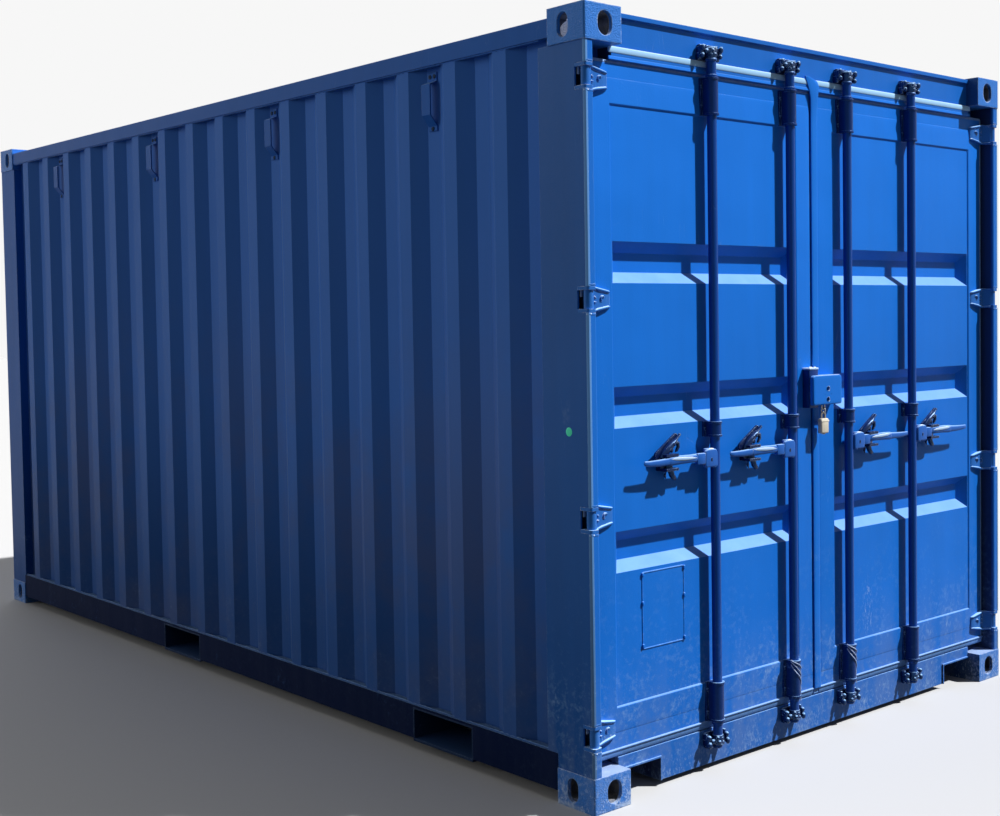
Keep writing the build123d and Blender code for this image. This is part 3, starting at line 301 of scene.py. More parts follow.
def tube(points: np.ndarray, radius: float, toward: Sequence[float], sides: int = 8,
         closed: bool = False) -> Surface:
    """A round wire along any path.

    A ring's point at angle t is p + r (cos t n + sin t b), where n is toward made square to the
    path and b is square to both.

    Args:
        points: the path, one row to a point.
        radius: the wire's radius.
        toward: a direction, or one to a point, that the path never follows.
        sides: points to a ring.
        closed: whether the path ends where it starts; otherwise it gets flat ends.

    Returns:
        The closed mesh.
    """
    p = np.asarray(points, float)
    step = (np.roll(p, -1, axis=0) - np.roll(p, 1, axis=0)) if closed else np.gradient(p, axis=0)
    step /= np.linalg.norm(step, axis=1, keepdims=True)
    b = np.cross(step, np.broadcast_to(toward, p.shape))
    b /= np.linalg.norm(b, axis=1, keepdims=True)
    n = np.cross(b, step)
    t = np.arange(sides) * 2 * np.pi / sides
    rings = p[:, None, :] + radius * (
        np.cos(t)[None, :, None] * n[:, None, :] + np.sin(t)[None, :, None] * b[:, None, :])
    body = grid(rings, close_u=closed, close_v=True).reversed()
    return body if closed else body.capped(sides)


def arc(start: float, end: float, count: int, radii: Pair, middle: Pair = (0.0, 0.0)) -> list[Pair]:
    """Points along an ellipse: middle + (radii[0] cos t, radii[1] sin t), t in degrees."""
    t = np.radians(np.linspace(start, end, count))
    first, second = middle[0] + radii[0] * np.cos(t), middle[1] + radii[1] * np.sin(t)
    return list(zip(first.tolist(), second.tolist()))


def at_depth(points: Sequence[Pair], depth: float) -> np.ndarray:
    """Points given as X and Z, put on the upright plane at a depth."""
    x, z = np.asarray(points, float).T
    return np.stack([x, np.full(len(x), at(depth)), z], axis=-1)


def rounded_outline(low: Pair, high: Pair, radii: Sequence[float], steps: int = 4) -> np.ndarray:
    """A rectangle with rounded corners, anticlockwise from the bottom right one.

    Args:
        low, high: its corners.
        radii: the radius at the bottom right, top right, top left and bottom left.
        steps: steps to a corner.

    Returns:
        The points, one to a row: each corner's centre + radius * (cos t, sin t).
    """
    r = np.asarray(radii, float)
    t = np.linspace(0, np.pi / 2, steps + 1)
    start = np.radians([-90, 0, 90, 180])
    x = np.array([high[0] - r[0], high[0] - r[1], low[0] + r[2], low[0] + r[3]])
    z = np.array([low[1] + r[0], high[1] - r[1], high[1] - r[2], low[1] + r[3]])
    a = start[:, None] + t
    return np.stack([x[:, None] + r[:, None] * np.cos(a), z[:, None] + r[:, None] * np.sin(a)],
                    axis=-1).reshape(-1, 2)


def pressed(outline: np.ndarray, rings: Sequence[Pair], cap: bool = True) -> Surface:
    """A shape whose outline shrinks as it comes forward, such as a pressed cover.

    Ring k is the outline moved in towards its middle by inset_k, at depth_k behind the door end:
    middle + (point - middle) * (1 - 2 inset_k / size), taken apart for X and Z.

    Args:
        outline: the outline as X and Z, anticlockwise seen from the front.
        rings: inset and depth of each ring, from the back to the front.
        cap: whether the front is closed.

    Returns:
        The mesh, open at the back.
    """
    low, high = outline.min(0), outline.max(0)
    middle, size = (low + high) / 2, high - low
    layers = [at_depth(middle + (outline - middle) * (1 - 2 * inset / size), depth)
              for inset, depth in rings]
    body = grid(np.array(layers), close_v=True).reversed()
    if not cap:
        return body
    last = len(body.points) - len(outline)
    return Surface(body.points, (*body.groups, last + np.arange(len(outline))[None, :]))


def turn(axis: str, degrees: float) -> np.ndarray:
    """The matrix that turns by an angle about X, Y or Z."""
    c, s = math.cos(math.radians(degrees)), math.sin(math.radians(degrees))
    i, j = {"X": (1, 2), "Y": (2, 0), "Z": (0, 1)}[axis]
    out = np.eye(3)
    out[i, i] = out[j, j] = c
    out[i, j], out[j, i] = -s, s
    return out


def bolt(radius: float, height: float, washer: float = 0.0) -> Surface:
    """A hexagon bolt head that points along -Y: a six-sided lathe with a chamfered top on a washer.

    Args:
        radius: from the middle to a corner of the head.
        height: how far the head stands out.
        washer: the washer's radius, or 0 for none.

    Returns:
        The head, with its foot at Y = 0.
    """
    head = lathe([(radius, 0), (radius, height * 0.8), (radius * 0.8, height), (0, height)], 6)
    parts = [head]
    if washer:
        parts.append(lathe([(washer, 0), (washer, 2), (washer * 0.9, 2.6), (0, 2.6)], 16))
    return Surface.joined(parts).facing_out()


def dome(radius: float, height: float, sides: int = 12) -> Surface:
    """A round rivet head that points along -Y, with a quarter of an ellipse as its profile."""
    return lathe(arc(0, 90, 5, (radius, height)), sides).facing_out()


def lump(middle: Sequence[float], radii: Sequence[float], sides: int = 12) -> Surface:
    """A forged lump: a ball scaled along each axis, middle + radii * direction.

    Args:
        middle: its middle as X, depth and Z.
        radii: its half sizes.
        sides: steps round it.

    Returns:
        The closed mesh.
    """
    ball = lathe(arc(-90, 90, sides // 2 + 1, (1.0, 1.0)), sides)
    scaled = Surface(ball.points * np.asarray(radii, float), ball.groups)
    return scaled.moved(middle[0], at(middle[1]), middle[2])


def block(x: Pair, depth: Pair, z: Pair, radius: float, steps: int = 2) -> Surface:
    """A box with rounded edges, from its ends along X, its depths and its levels."""
    return rounded_box((x[0], at(depth[0]), z[0]), (x[1], at(depth[1]), z[1]), radius, steps)


def rods() -> Iterator[tuple[int, float, bool]]:
    """Each rod's number, its distance from the middle, and whether it is on the left door."""
    for step, x in enumerate(RODS):
        yield step + 3, x, False
        yield 2 - step, x, True


# Shader maths


class Wire:
    """A number or colour that a node gives, with the shader's arithmetic as Python operators."""

    def __init__(self, recipe: "Recipe", socket: bpy.types.NodeSocket) -> None:
        """Holds the output and the recipe that it belongs to."""
        self.recipe = recipe
        self.socket = socket

    def _math(self, operation: str, *values: Any) -> "Wire":
        """A Math node over the given values."""
        return self.recipe.node("Math", {"operation": operation}, dict(enumerate(values)))

    def __add__(self, other: Any) -> "Wire":
        """self + other."""
        return self._math("ADD", self, other)

    __radd__ = __add__

    def __sub__(self, other: Any) -> "Wire":
        """self - other."""
        return self._math("SUBTRACT", self, other)

    def __rsub__(self, other: Any) -> "Wire":
        """other - self."""
        return self._math("SUBTRACT", other, self)

    def __mul__(self, other: Any) -> "Wire":
        """self * other."""
        return self._math("MULTIPLY", self, other)

    __rmul__ = __mul__

    def __truediv__(self, other: Any) -> "Wire":
        """self / other."""
        return self._math("DIVIDE", self, other)

    def __pow__(self, other: Any) -> "Wire":
        """self to the power other."""
        return self._math("POWER", self, other)

    def __abs__(self) -> "Wire":
        """The size of self without its sign."""
        return self._math("ABSOLUTE", self)

    def above(self, other: Any) -> "Wire":
        """The larger of the two."""
        return self._math("MAXIMUM", self, other)

    def below(self, other: Any) -> "Wire":
        """The smaller of the two."""
        return self._math("MINIMUM", self, other)

    def ramp(self, low: float, high: float) -> "Wire":
        """0 up to low and 1 from high on, or the other way round, with a smooth step between."""
        settings = {"interpolation_type": "SMOOTHSTEP"}
        if low <= high:
            return self.recipe.node("MapRange", settings, {0: self, 1: low, 2: high})
        return self.recipe.node("MapRange", settings, {0: self, 1: high, 2: low, 3: 1.0, 4: 0.0})


class Recipe:
    """The node tree of one finish."""

    def __init__(self, name: str) -> None:
        """Makes the material with an empty tree, its shader and its output."""
        self.material = bpy.data.materials.new(name)
        self.material.use_nodes = True
        self.tree = self.material.node_tree
        self.tree.nodes.clear()
        self.shader = self.tree.nodes.new("ShaderNodeBsdfPrincipled")
        output = self.tree.nodes.new("ShaderNodeOutputMaterial")
        self.tree.links.new(self.shader.outputs[0], output.inputs[0])

    def node(self, kind: str, settings: dict[str, Any], sockets: dict[Any, Any],
             out: Any = 0) -> Wire:
        """Adds a node of any kind.

        Args:
            kind: the node's type without its ShaderNode prefix.
            settings: its properties, set before its sockets.
            sockets: what goes into each input, as a Wire or a value.
            out: the output that is wanted, by number or name.

        Returns:
            That output.
        """
        made = self.tree.nodes.new("ShaderNode" + kind)
        for key, value in settings.items():
            setattr(made, key, value)
        for key, value in sockets.items():
            if isinstance(value, Wire):
                self.tree.links.new(value.socket, made.inputs[key])
            else:
                made.inputs[key].default_value = value
        return Wire(self, made.outputs[out])

    def place(self) -> Wire:
        """The point in the object's own frame, in metres."""
        return self.node("TexCoord", {}, {}, "Object")

    def axes(self, vector: Wire) -> tuple[Wire, Wire, Wire]:
        """The three parts of a vector."""
        first = self.node("SeparateXYZ", {}, {0: vector})
        outs = first.socket.node.outputs
        return Wire(self, outs[0]), Wire(self, outs[1]), Wire(self, outs[2])

    def facing(self) -> tuple[Wire, Wire, Wire]:
        """The parts of the surface's direction in the object's own frame."""
        return self.axes(self.node("TexCoord", {}, {}, "Normal"))

    def stretched(self, x: float, y: float, z: float) -> Wire:
        """The place with each axis scaled by its own number."""
        return self.node("VectorMath", {"operation": "MULTIPLY"}, {0: self.place(), 1: (x, y, z)})

    def noise(self, scale: float, detail: float = 3.0, where: Wire | None = None,
              rough: float = 0.5) -> Wire:
        """Cloudy noise about 0.5, with scale features to a metre."""
        return self.node("TexNoise", {}, {
            "Vector": where or self.place(), "Scale": scale, "Detail": detail, "Roughness": rough})

    def cells(self, scale: float, where: Wire) -> Wire:
        """Distance to the nearest border in a pattern of cells, scale cells to a metre."""
        return self.node("TexVoronoi", {"feature": "DISTANCE_TO_EDGE"},
                         {"Vector": where, "Scale": scale}, "Distance")

    def blend(self, amount: Any, first: Any, second: Any) -> Wire:
        """A colour that goes from first to second as amount goes from 0 to 1."""
        colours = {key: value if isinstance(value, Wire) else (*value, 1.0)
                   for key, value in ((6, first), (7, second))}
        return self.node("Mix", {"data_type": "RGBA"}, {0: amount, **colours}, 2)

    def tinted(self, colour: Any, factor: Any) -> Wire:
        """A colour made lighter or darker by a factor."""
        grey = self.node("CombineColor", {}, {0: factor, 1: factor, 2: factor})
        settings = {"data_type": "RGBA", "blend_type": "MULTIPLY"}
        first = colour if isinstance(colour, Wire) else (*colour, 1.0)
        return self.node("Mix", settings, {0: 1.0, 6: first, 7: grey}, 2)

    def softened(self, radius: float) -> Wire:
        """The surface's direction with edges and facets rounded over a radius in metres."""
        return self.node("Bevel", {"samples": 4}, {"Radius": radius})

    def edges(self, softened: Wire) -> Wire:
        """1 along edges and 0 on flats: how far the rounded direction leaves the true one."""
        true = self.node("NewGeometry", {}, {}, "Normal")
        dot = self.node("VectorMath", {"operation": "DOT_PRODUCT"}, {0: softened, 1: true}, "Value")
        return dot.ramp(0.985, 0.86)

    def bump(self, height: Wire, distance: float, normal: Wire | None = None) -> Wire:
        """A direction that follows a height map, a height of 1 being distance metres."""
        sockets: dict[Any, Any] = {"Strength": 1.0, "Distance": distance, "Height": height}
        if normal is not None:
            sockets["Normal"] = normal
        return self.node("Bump", {}, sockets)

    def feed(self, **values: Any) -> None:
        """Puts wires or constants on the shader's sockets, an underscore standing for a space."""
        for key, value in values.items():
            target = self.shader.inputs[key.replace("_", " ").title().replace("Ior", "IOR")]
            if isinstance(value, Wire):
                self.tree.links.new(value.socket, target)
            elif isinstance(value, tuple):
                target.default_value = (*value, 1.0)
            else:
                target.default_value = value


class Slot(Enum):
    """The record's material slots."""

    BLUE = "blue_paint"
    CASTING = "casting_paint"
    UNDER = "underframe_paint"
    PLYWOOD = "plywood"
    SEAL = "seal_rubber"
    HINGE = "hinge_steel"
    BRASS = "brass"


BLUISH = (0.2, 0.5, 1.0)

# Paint's measures, in metres
BUMP = 0.004
SKIN = 0.012
CAVITY = (0.148, 0.164, 0.104)
POST_CORNER = 1.214


@dataclass(frozen=True)
class Paint:
    """Semi-gloss marine paint over steel, faded, streaked and worn.

    Attributes:
        name, slot: the material's name and the record's slot.
        colour, faded, worn, dirt: the paint; its pale tone, used for sun-bleach, for dust and for
            the
        painted highlight on what looks up; where it is rubbed; and soil.
        bare, bare_inside: unpainted steel, and whether a casting shows it in its cavity.
        fade: how far faces that look up are bleached and given a painted highlight.
        roughness, gloss, glint: the skin's roughness, its shine and the shine's tint.
        wear, scuffs, grime: how much edges are rubbed pale (partly painted glints), flats scratched
        and low places soiled.
        radius, peel, dents: the edges' rounding and the heights of skin and dents, in metres.
        hem, crust: the level of a worn lower edge, and how much flakes near the ground.
        aside: painted light and shade: tone added where a face looks sideways, or only across the
        container if below 0.
        lift, sink: how much lighter the top is and how much darker the bottom.
        inner, throat, shaded: painted shade: how much darker a casting's inward faces are, how much
        a post's notches are, and the notches' shaded colour.
        stain, stained: how much low clouds stain it, and their colour.
        rubs: rubbed ovals on the front, each as X, Z and half its width and height, in metres.
    """

    name: str
    slot: Slot = Slot.BLUE
    colour: Colour = linear(20, 108, 206)
    faded: Colour = linear(150, 196, 245)
    worn: Colour = linear(158, 186, 222)
    dirt: Colour = linear(132, 142, 160)
    bare: Colour = linear(176, 164, 138)
    bare_inside: bool = False
    fade: float = 0.5
    roughness: float = 0.42
    gloss: float = 0.2
    wear: float = 0.35
    scuffs: float = 0.3
    grime: float = 0.4
    radius: float = 0.003
    peel: float = 0.0004
    dents: float = 0.006
    hem: float = 0.0
    crust: float = 0.0
    aside: float = 0.0
    lift: float = 0.0
    sink: float = 0.0
    inner: float = 0.0
    throat: float = 0.0
    stain: float = 0.0
    stained: Colour = linear(104, 98, 104)
    shaded: Colour = linear(34, 32, 44)
    glint: Colour = (0.45, 0.7, 1.0)
    rubs: tuple[tuple[float, float, float, float], ...] = ()

    def material(self) -> bpy.types.Material:
        """Builds the paint."""
        return Coat(self).finished()


class Coat:
    """A paint's node tree: the masks that its layers share, and the layers from the base up."""

    def __init__(self, paint: Paint) -> None:
        """Makes the places, the directions and the noises."""
        self.paint = paint
        self.recipe = r = Recipe(paint.name)
        self.x, self.y, self.z = r.axes(r.place())
        self.across, self.along, self.up = r.facing()
        self.soft = r.softened(paint.radius)
        self.clouds = r.noise(0.9, 4.0)
        self.streaks = r.noise(3.0, 4.0, r.stretched(5.0, 5.0, 0.35))
        self.speck = r.noise(46.0, 5.0, rough=0.7)
        self.patch = r.noise(5.0, 4.0, rough=0.65)
        self.low = self.z.ramp(0.55, 0.05)
        # Faces that look up go pale: partly sun-bleach, partly a painted highlight on lit tops.
        self.bleach_and_top_light = self.up.ramp(0.25, 0.75) * (0.55 + self.patch * 0.9) * paint.fade

    def tone(self) -> Wire:
        """The paint's lightness: clouds and long streaks, painted light and shade by a face's way,
        and what its level adds.
        """
        paint = self.paint
        tone = 0.80 + self.clouds * 0.26 + self.streaks * 0.16
        # Painted light and shade: faces that look sideways, and also along if aside is above 0, are
        # made lighter or darker.
        if paint.aside:
            square = abs(self.across)
            if paint.aside > 0:
                square = square.above(abs(self.along))
            tone = tone + square.ramp(0.80, 0.95) * paint.aside
        # Painted shade on a casting's faces that look in towards the middle.
        if paint.inner:
            inward = self.across * (self.x * -20.0).below(1.0).above(-1.0)
            tone = tone * (1.0 - inward.ramp(0.5, 0.9) * paint.inner)
        if paint.sink:
            tone = tone * (1.0 - self.z.ramp(1.5, 0.15) * paint.sink)
        if paint.lift:
            tone = tone + self.z.ramp(1.2, 2.4) * paint.lift
        return tone

    def base(self) -> Wire:
        """The paint, pale where it looks up (sun-bleach and a painted highlight), with painted
        shade in the posts' notches, and stained.
        """
        r, paint = self.recipe, self.paint
        colour = r.blend(self.bleach_and_top_light.below(1.0), r.tinted(paint.colour, self.tone()), paint.faded)
        # Painted shade in the posts' notches, between post and door.
        if paint.throat:
            deep = (HALF_LENGTH * MM - abs(self.y)).ramp(0.006, 0.02)
            deep = deep * (POST_CORNER - abs(self.x)).ramp(0.0, 0.003)
            deep = deep * abs(self.across).ramp(0.5, 0.8)
            colour = r.blend(deep * paint.throat, colour, paint.shaded)
        if paint.stain:
            cover = (self.clouds * 0.7 + self.patch * 0.4).ramp(0.45, 0.68)
            colour = r.blend(cover * self.z.ramp(2.1, 0.7) * paint.stain, colour, paint.stained)
        return colour

    def scratches(self) -> Wire:
        """Fine upright scratches: the borders of tall cells, broken up by two noises."""
        lines = self.recipe.cells(17.0, self.recipe.stretched(1.0, 1.0, 0.18)).ramp(0.012, 0.002)
        return lines * self.patch.ramp(0.56, 0.68) * self.speck.ramp(0.4, 0.55)

    def worn(self, colour: Wire, scratches: Wire) -> Wire:
        """The colour with pale edges (rubbed, and partly painted glints), scratches and, near the
        ground, chips.
        """
        paint = self.paint
        grit = (self.patch * 0.6 + self.speck).ramp(0.72, 0.95)
        # Pale edges: rubbed paint, and on the glossy gear painted glints as well.
        rub = self.recipe.edges(self.soft) * grit * paint.wear
        rub = rub + scratches * (0.25 + self.low * 0.75) * paint.scuffs
        chips = (self.speck * 0.6 + self.patch * 0.5).ramp(0.66, 0.70) * self.low * paint.scuffs
        return self.recipe.blend((rub + chips).below(1.0), colour, paint.worn)

    def soiled(self, colour: Wire) -> Wire:
        """The colour with streaks of soil and specks of pale dust near the ground."""
        r, paint = self.recipe, self.paint
        soil = self.low * (self.streaks * 0.7 + self.speck * 0.5).ramp(0.42, 0.75)
        colour = r.blend(soil * paint.grime, colour, paint.dirt)
        dust = (self.speck * 0.7 + self.patch * 0.4).ramp(0.56, 0.66) * self.z.ramp(0.9, 0.1)
        return r.blend(dust * (0.45 * paint.grime), colour, paint.faded)

    def footed(self, colour: Wire) -> Wire:
        """The colour with a worn lower edge and with flakes just above the ground."""
        r, paint = self.recipe, self.paint
        if paint.hem:
            line = (self.z + self.speck * 0.03).ramp(paint.hem + 0.012, paint.hem)
            colour = r.blend(line * self.patch.ramp(0.42, 0.62) * 0.75, colour, paint.worn)
        if paint.crust:
            flakes = r.noise(130.0, 3.0, r.stretched(1.0, 1.0, 0.6), 0.6) * 0.75 + self.patch * 0.4
            flakes = flakes.ramp(0.60, 0.68) * self.z.ramp(0.16, 0.01)
            colour = r.blend(flakes * paint.crust, colour, paint.worn)
        return colour

    def hollowed(self, colour: Wire) -> Wire:
        """The colour with bare steel inside the castings, between skin and back on each axis."""
        r, middle = self.recipe, HEIGHT * MM / 2
        gaps = (HALF_WIDTH * MM - abs(self.x), HALF_LENGTH * MM - abs(self.y),
                middle - abs(self.z - middle))
        inside = 0.25 + self.patch * 0.9
        for gap, back in zip(gaps, CAVITY):
            inside = inside * gap.ramp(SKIN, SKIN + 0.002) * gap.ramp(back + 0.002, back)
        return r.blend(inside, colour, r.tinted(self.paint.bare, 0.1 + self.speck * 0.7))

    def rubbed(self, colour: Wire) -> Wire:
        """The colour with gritty ovals, where (dx / width)^2 + (dz / height)^2 is under 1."""
        r = self.recipe
        for x, z, width, height in self.paint.rubs:
            away = ((self.x - x) / width) ** 2.0 + ((self.z - z) / height) ** 2.0
            grit = r.noise(190.0, 3.0, r.stretched(1.0, 1.0, 0.22), 0.6).ramp(0.54, 0.66)
            colour = r.blend(away.ramp(1.0, 0.1) * grit * 0.5, colour, self.paint.worn)
        return colour

    def finished(self) -> bpy.types.Material:
        """Puts the layers on the shader, with a fine skin, shallow dents and scratches as bump."""
        r, paint = self.recipe, self.paint
        scratches = self.scratches()
        colour = self.footed(self.soiled(self.worn(self.base(), scratches)))
        if paint.bare_inside:
            colour = self.hollowed(colour)
        skin, dents = r.noise(230.0, 2.0), r.noise(2.4, 2.0)
        height = skin * (paint.peel / BUMP) + dents * (paint.dents / BUMP) - scratches * 0.08
        r.feed(base_color=self.rubbed(colour),
               roughness=paint.roughness + self.speck * 0.16 - 0.05 + self.bleach_and_top_light * 0.15,
               normal=r.bump(height, BUMP, self.soft), specular_ior_level=paint.gloss,
               specular_tint=paint.glint)
        return r.material


@dataclass(frozen=True)
class Rubber:
    """Extruded door seal rubber with a painted-over, dusty skin."""

    name: str
    slot: Slot = Slot.SEAL
    colour: Colour = linear(84, 134, 200)
    dust: Colour = linear(176, 208, 250)

    def material(self) -> bpy.types.Material:
        """Builds the rubber: dark, with what looks up made pale, partly dust and partly a painted
        highlight, and a fine speckled bump.
        """
        r = Recipe(self.name)
        _, _, up = r.facing()
        soft = r.softened(0.003)
        speck = r.noise(60.0, 4.0)
        # Painted highlight and dust: faces that look up blend towards the pale dust colour.
        amount = (up.ramp(-0.2, 0.8) * 0.6 + speck * 0.3) * 0.6
        colour = r.blend(amount, r.tinted(self.colour, 0.7 + speck * 0.6), self.dust)
        r.feed(base_color=colour, roughness=0.6 + speck * 0.2,
               normal=r.bump(speck, 0.0006, soft), specular_ior_level=0.3)
        return r.material


@dataclass(frozen=True)
class Plywood:
    """Hardwood plywood floor sheets: long grain, tyre marks and dust."""

    name: str
    slot: Slot = Slot.PLYWOOD
    light: Colour = linear(158, 116, 78)
    dark: Colour = linear(104, 68, 42)

    def material(self) -> bpy.types.Material:
        """Builds the wood: noise stretched along the length for grain, finer noise for pores."""
        r = Recipe(self.name)
        grain = r.noise(14.0, 6.0, r.stretched(7.0, 0.3, 4.0), 0.65)
        pores = r.noise(60.0, 3.0, r.stretched(9.0, 0.35, 9.0))
        wear = r.noise(1.6, 4.0)
        colour = r.blend(grain.ramp(0.3, 0.7), self.light, self.dark)
        colour = r.tinted(colour, 0.72 + wear * 0.5 - pores.ramp(0.62, 0.7) * 0.25)
        r.feed(base_color=colour, roughness=0.55 + wear * 0.3,
               normal=r.bump(grain + pores * 0.5, 0.0007), specular_ior_level=0.3)
        return r.material


@dataclass(frozen=True)
class Metal:
    """Bare or dulled metal: pins, bushings, wires and the padlock's brass."""

    name: str
    slot: Slot = Slot.HINGE
    colour: Colour = linear(150, 150, 152)
    tarnish: Colour = linear(92, 78, 66)
    amount: float = 0.5
    roughness: float = 0.42
    metallic: float = 0.9
    radius: float = 0.0015

    def material(self) -> bpy.types.Material:
        """Builds the metal: clouds of tarnish, brushed lines, and bright rubbed edges."""
        r = Recipe(self.name)
        soft = r.softened(self.radius)
        edge = r.edges(soft)
        clouds = r.noise(38.0, 5.0, rough=0.65)
        brush = r.noise(90.0, 3.0, r.stretched(1.0, 1.0, 9.0))
        stain = clouds.ramp(0.38, 0.68) * self.amount * (1.0 - edge * 0.7)
        colour = r.blend(stain, r.tinted(self.colour, 0.8 + brush * 0.4), self.tarnish)
        r.feed(base_color=colour, metallic=self.metallic - stain * 0.5,
               roughness=self.roughness + stain * 0.3 + brush * 0.08,
               normal=r.bump(brush + clouds, 0.0002, soft))
        return r.material


class Finish(Enum):
    """Every finish on the container."""

    DOOR = Paint("door_paint", dents=0.009, grime=0.3, scuffs=0.35, lift=0.2,
                 rubs=((0.33, 0.43, 0.04, 0.13), (0.89, 0.25, 0.014, 0.05),
                       (-0.77, 0.28, 0.03, 0.035), (-0.56, 0.24, 0.016, 0.02)))
    # WALL's aside lightens its flat faces against the ribs' flanks: painted light.
    WALL = Paint("wall_paint", colour=linear(47, 88, 154), aside=0.86, stain=0.3, sink=0.42,
                 scuffs=0.14, wear=0.25, fade=0.35, grime=0.05, gloss=0.06, glint=BLUISH)
    # FRAME's aside darkens the faces that look across and its throat the posts' notches: painted
    # shade.
    FRAME = Paint("frame_paint", colour=linear(26, 106, 200), faded=linear(150, 200, 250),
                  aside=-0.4, throat=0.75, sink=0.12, wear=0.6, fade=0.6, scuffs=0.5, grime=0.25,
                  hem=0.028, crust=0.3,
                  rubs=((0.41, 0.109, 0.012, 0.014), (0.775, 0.130, 0.012, 0.014),
                        (-0.35, 0.135, 0.014, 0.012), (-0.446, 0.132, 0.03, 0.009)))
    SIDE = Paint("side_frame_paint", colour=linear(34, 94, 178), sink=0.35, wear=0.5, scuffs=0.4,
                 grime=0.08, gloss=0.1, glint=BLUISH)
    RAIL = Paint("rail_paint", colour=linear(4, 19, 54), worn=linear(40, 76, 130), wear=0.4,
                 scuffs=0.3, fade=0.4, grime=0.02, gloss=0.05, roughness=0.6)
    # GEAR, SLEEVE and FORGED are darker than the door's paint: painted shade for gear seen from its
    # unlit side. Their pale edges, like LATCH's and BAR's, are partly painted glints.
    GEAR = Paint("gear_paint", colour=linear(14, 62, 140), worn=linear(160, 200, 250), wear=1.0,
                 scuffs=0.25, radius=0.0028, dents=0.0, peel=0.0006, grime=0.06, fade=0.6,
                 gloss=0.3, roughness=0.34, glint=BLUISH)
    SLEEVE = Paint("sleeve_paint", colour=linear(10, 42, 104), worn=linear(150, 196, 250), wear=0.6,
                   scuffs=0.3, radius=0.0028, dents=0.0, peel=0.0008, grime=0.04, fade=0.7,
                   gloss=0.3, roughness=0.32, glint=BLUISH)
    FORGED = Paint("forged_paint", colour=linear(8, 32, 84), faded=linear(160, 204, 250),
                   worn=linear(200, 226, 255), wear=1.5, scuffs=0.6, radius=0.003, dents=0.0,
                   peel=0.0022, grime=0.0, fade=1.0, gloss=0.7, roughness=0.22, glint=BLUISH)
    LATCH = Paint("latch_paint", colour=linear(6, 20, 62), faded=linear(30, 70, 150),
                  worn=linear(200, 224, 255), wear=1.1, scuffs=0.2, radius=0.002, dents=0.0,
                  grime=0.0, fade=0.2, gloss=0.5, roughness=0.24, glint=BLUISH)
    BAR = Paint("handle_paint", colour=linear(36, 92, 176), faded=linear(150, 192, 244),
                worn=linear(216, 232, 252), wear=1.4, scuffs=0.8, radius=0.002, dents=0.0,
                grime=0.0, fade=0.8)
    # A pale paint: rubbed to primer on the handles' ribs and the pads, and a painted highlight on
    # lug shoulders, hole rims, the cover's top edge, the keep's flange and the hubs' brows.
    WORN = Paint("rubbed_and_highlight_paint", colour=linear(166, 196, 232), faded=linear(236, 246, 255),
                 worn=linear(240, 246, 252), wear=1.0, scuffs=0.5, radius=0.002, dents=0.0,
                 grime=0.1, fade=1.0)
    # EDGE is a pale paint for the header lip's round: a painted highlight.
    EDGE = Paint("lip_highlight_paint", colour=linear(166, 212, 252), faded=linear(226, 244, 255),
                 worn=linear(196, 228, 250), wear=0.4, scuffs=0.3, fade=1.0, grime=0.0, dents=0.0,
                 glint=BLUISH)
    # CORNER is pale for the posts' front corners: rubbed paint and a painted highlight along the
    # edge.
    CORNER = Paint("rubbed_and_lit_corner_paint", colour=linear(98, 150, 212), worn=linear(190, 214, 246),
                   sink=0.5, wear=0.8, scuffs=0.8, grime=0.2, fade=0.4, radius=0.002, dents=0.0,
                   glint=BLUISH)
    # CAST's aside paints light on sideways faces and inner paints shade on inward ones; its faded
    # tone also paints lit tops.
    CAST = Paint("cast_steel_paint", Slot.CASTING, colour=linear(48, 113, 196),
                 faded=linear(190, 210, 242), worn=linear(190, 210, 240), aside=0.2, inner=0.65,
                 wear=1.1, scuffs=0.7, grime=0.3, peel=0.003, fade=0.6, radius=0.006,
                 dents=0.001, hem=0.024, crust=0.6, bare_inside=True)
    ROOF = Paint("roof_paint", fade=0.3, scuffs=0.25)
    UNDER = Paint("underbody_coat", Slot.UNDER, colour=linear(13, 32, 62), faded=linear(26, 52, 92),
                  roughness=0.65, wear=0.3, grime=0.0, scuffs=0.1)
    # LUG's full fade and strong wear make the lugs' and blades' tops and edges pale: painted
    # highlights.
    LUG = Paint("lug_paint", Slot.HINGE, colour=linear(40, 104, 186), faded=linear(160, 206, 248),
                worn=linear(226, 236, 246), wear=1.2, scuffs=0.6, radius=0.003, dents=0.0, fade=1.0,
                grime=0.1)
    MARK = Paint("green_mark_paint", colour=linear(90, 255, 205), faded=linear(130, 220, 190),
                 fade=0.2, wear=0.2, scuffs=0.0, grime=0.0)
    SEAL = Rubber("door_seal")
    WIRE = Metal("seal_wire", colour=linear(196, 216, 248), tarnish=linear(96, 120, 170),
                 amount=0.8, metallic=0.05, roughness=0.5, radius=0.0005)
    WOOD = Plywood("floor_plywood")
    STEEL = Metal("worn_steel")
    BRASS = Metal("dull_brass", Slot.BRASS, colour=linear(212, 206, 190),
                  tarnish=linear(182, 170, 150), amount=0.3, metallic=0.05, roughness=0.55)

    def material(self) -> bpy.types.Material:
        """The finish's material, built the first time that it is asked for."""
        found = bpy.data.materials.get(self.value.name)
        return found or self.value.material()


def weld(mesh: bpy.types.Mesh) -> None:
    """Merges the mesh's doubled points, so that poles and seams are closed."""
    work = bmesh.new()
    work.from_mesh(mesh)
    bmesh.ops.remove_doubles(work, verts=work.verts, dist=1e-6)
    work.to_mesh(mesh)
    work.free()


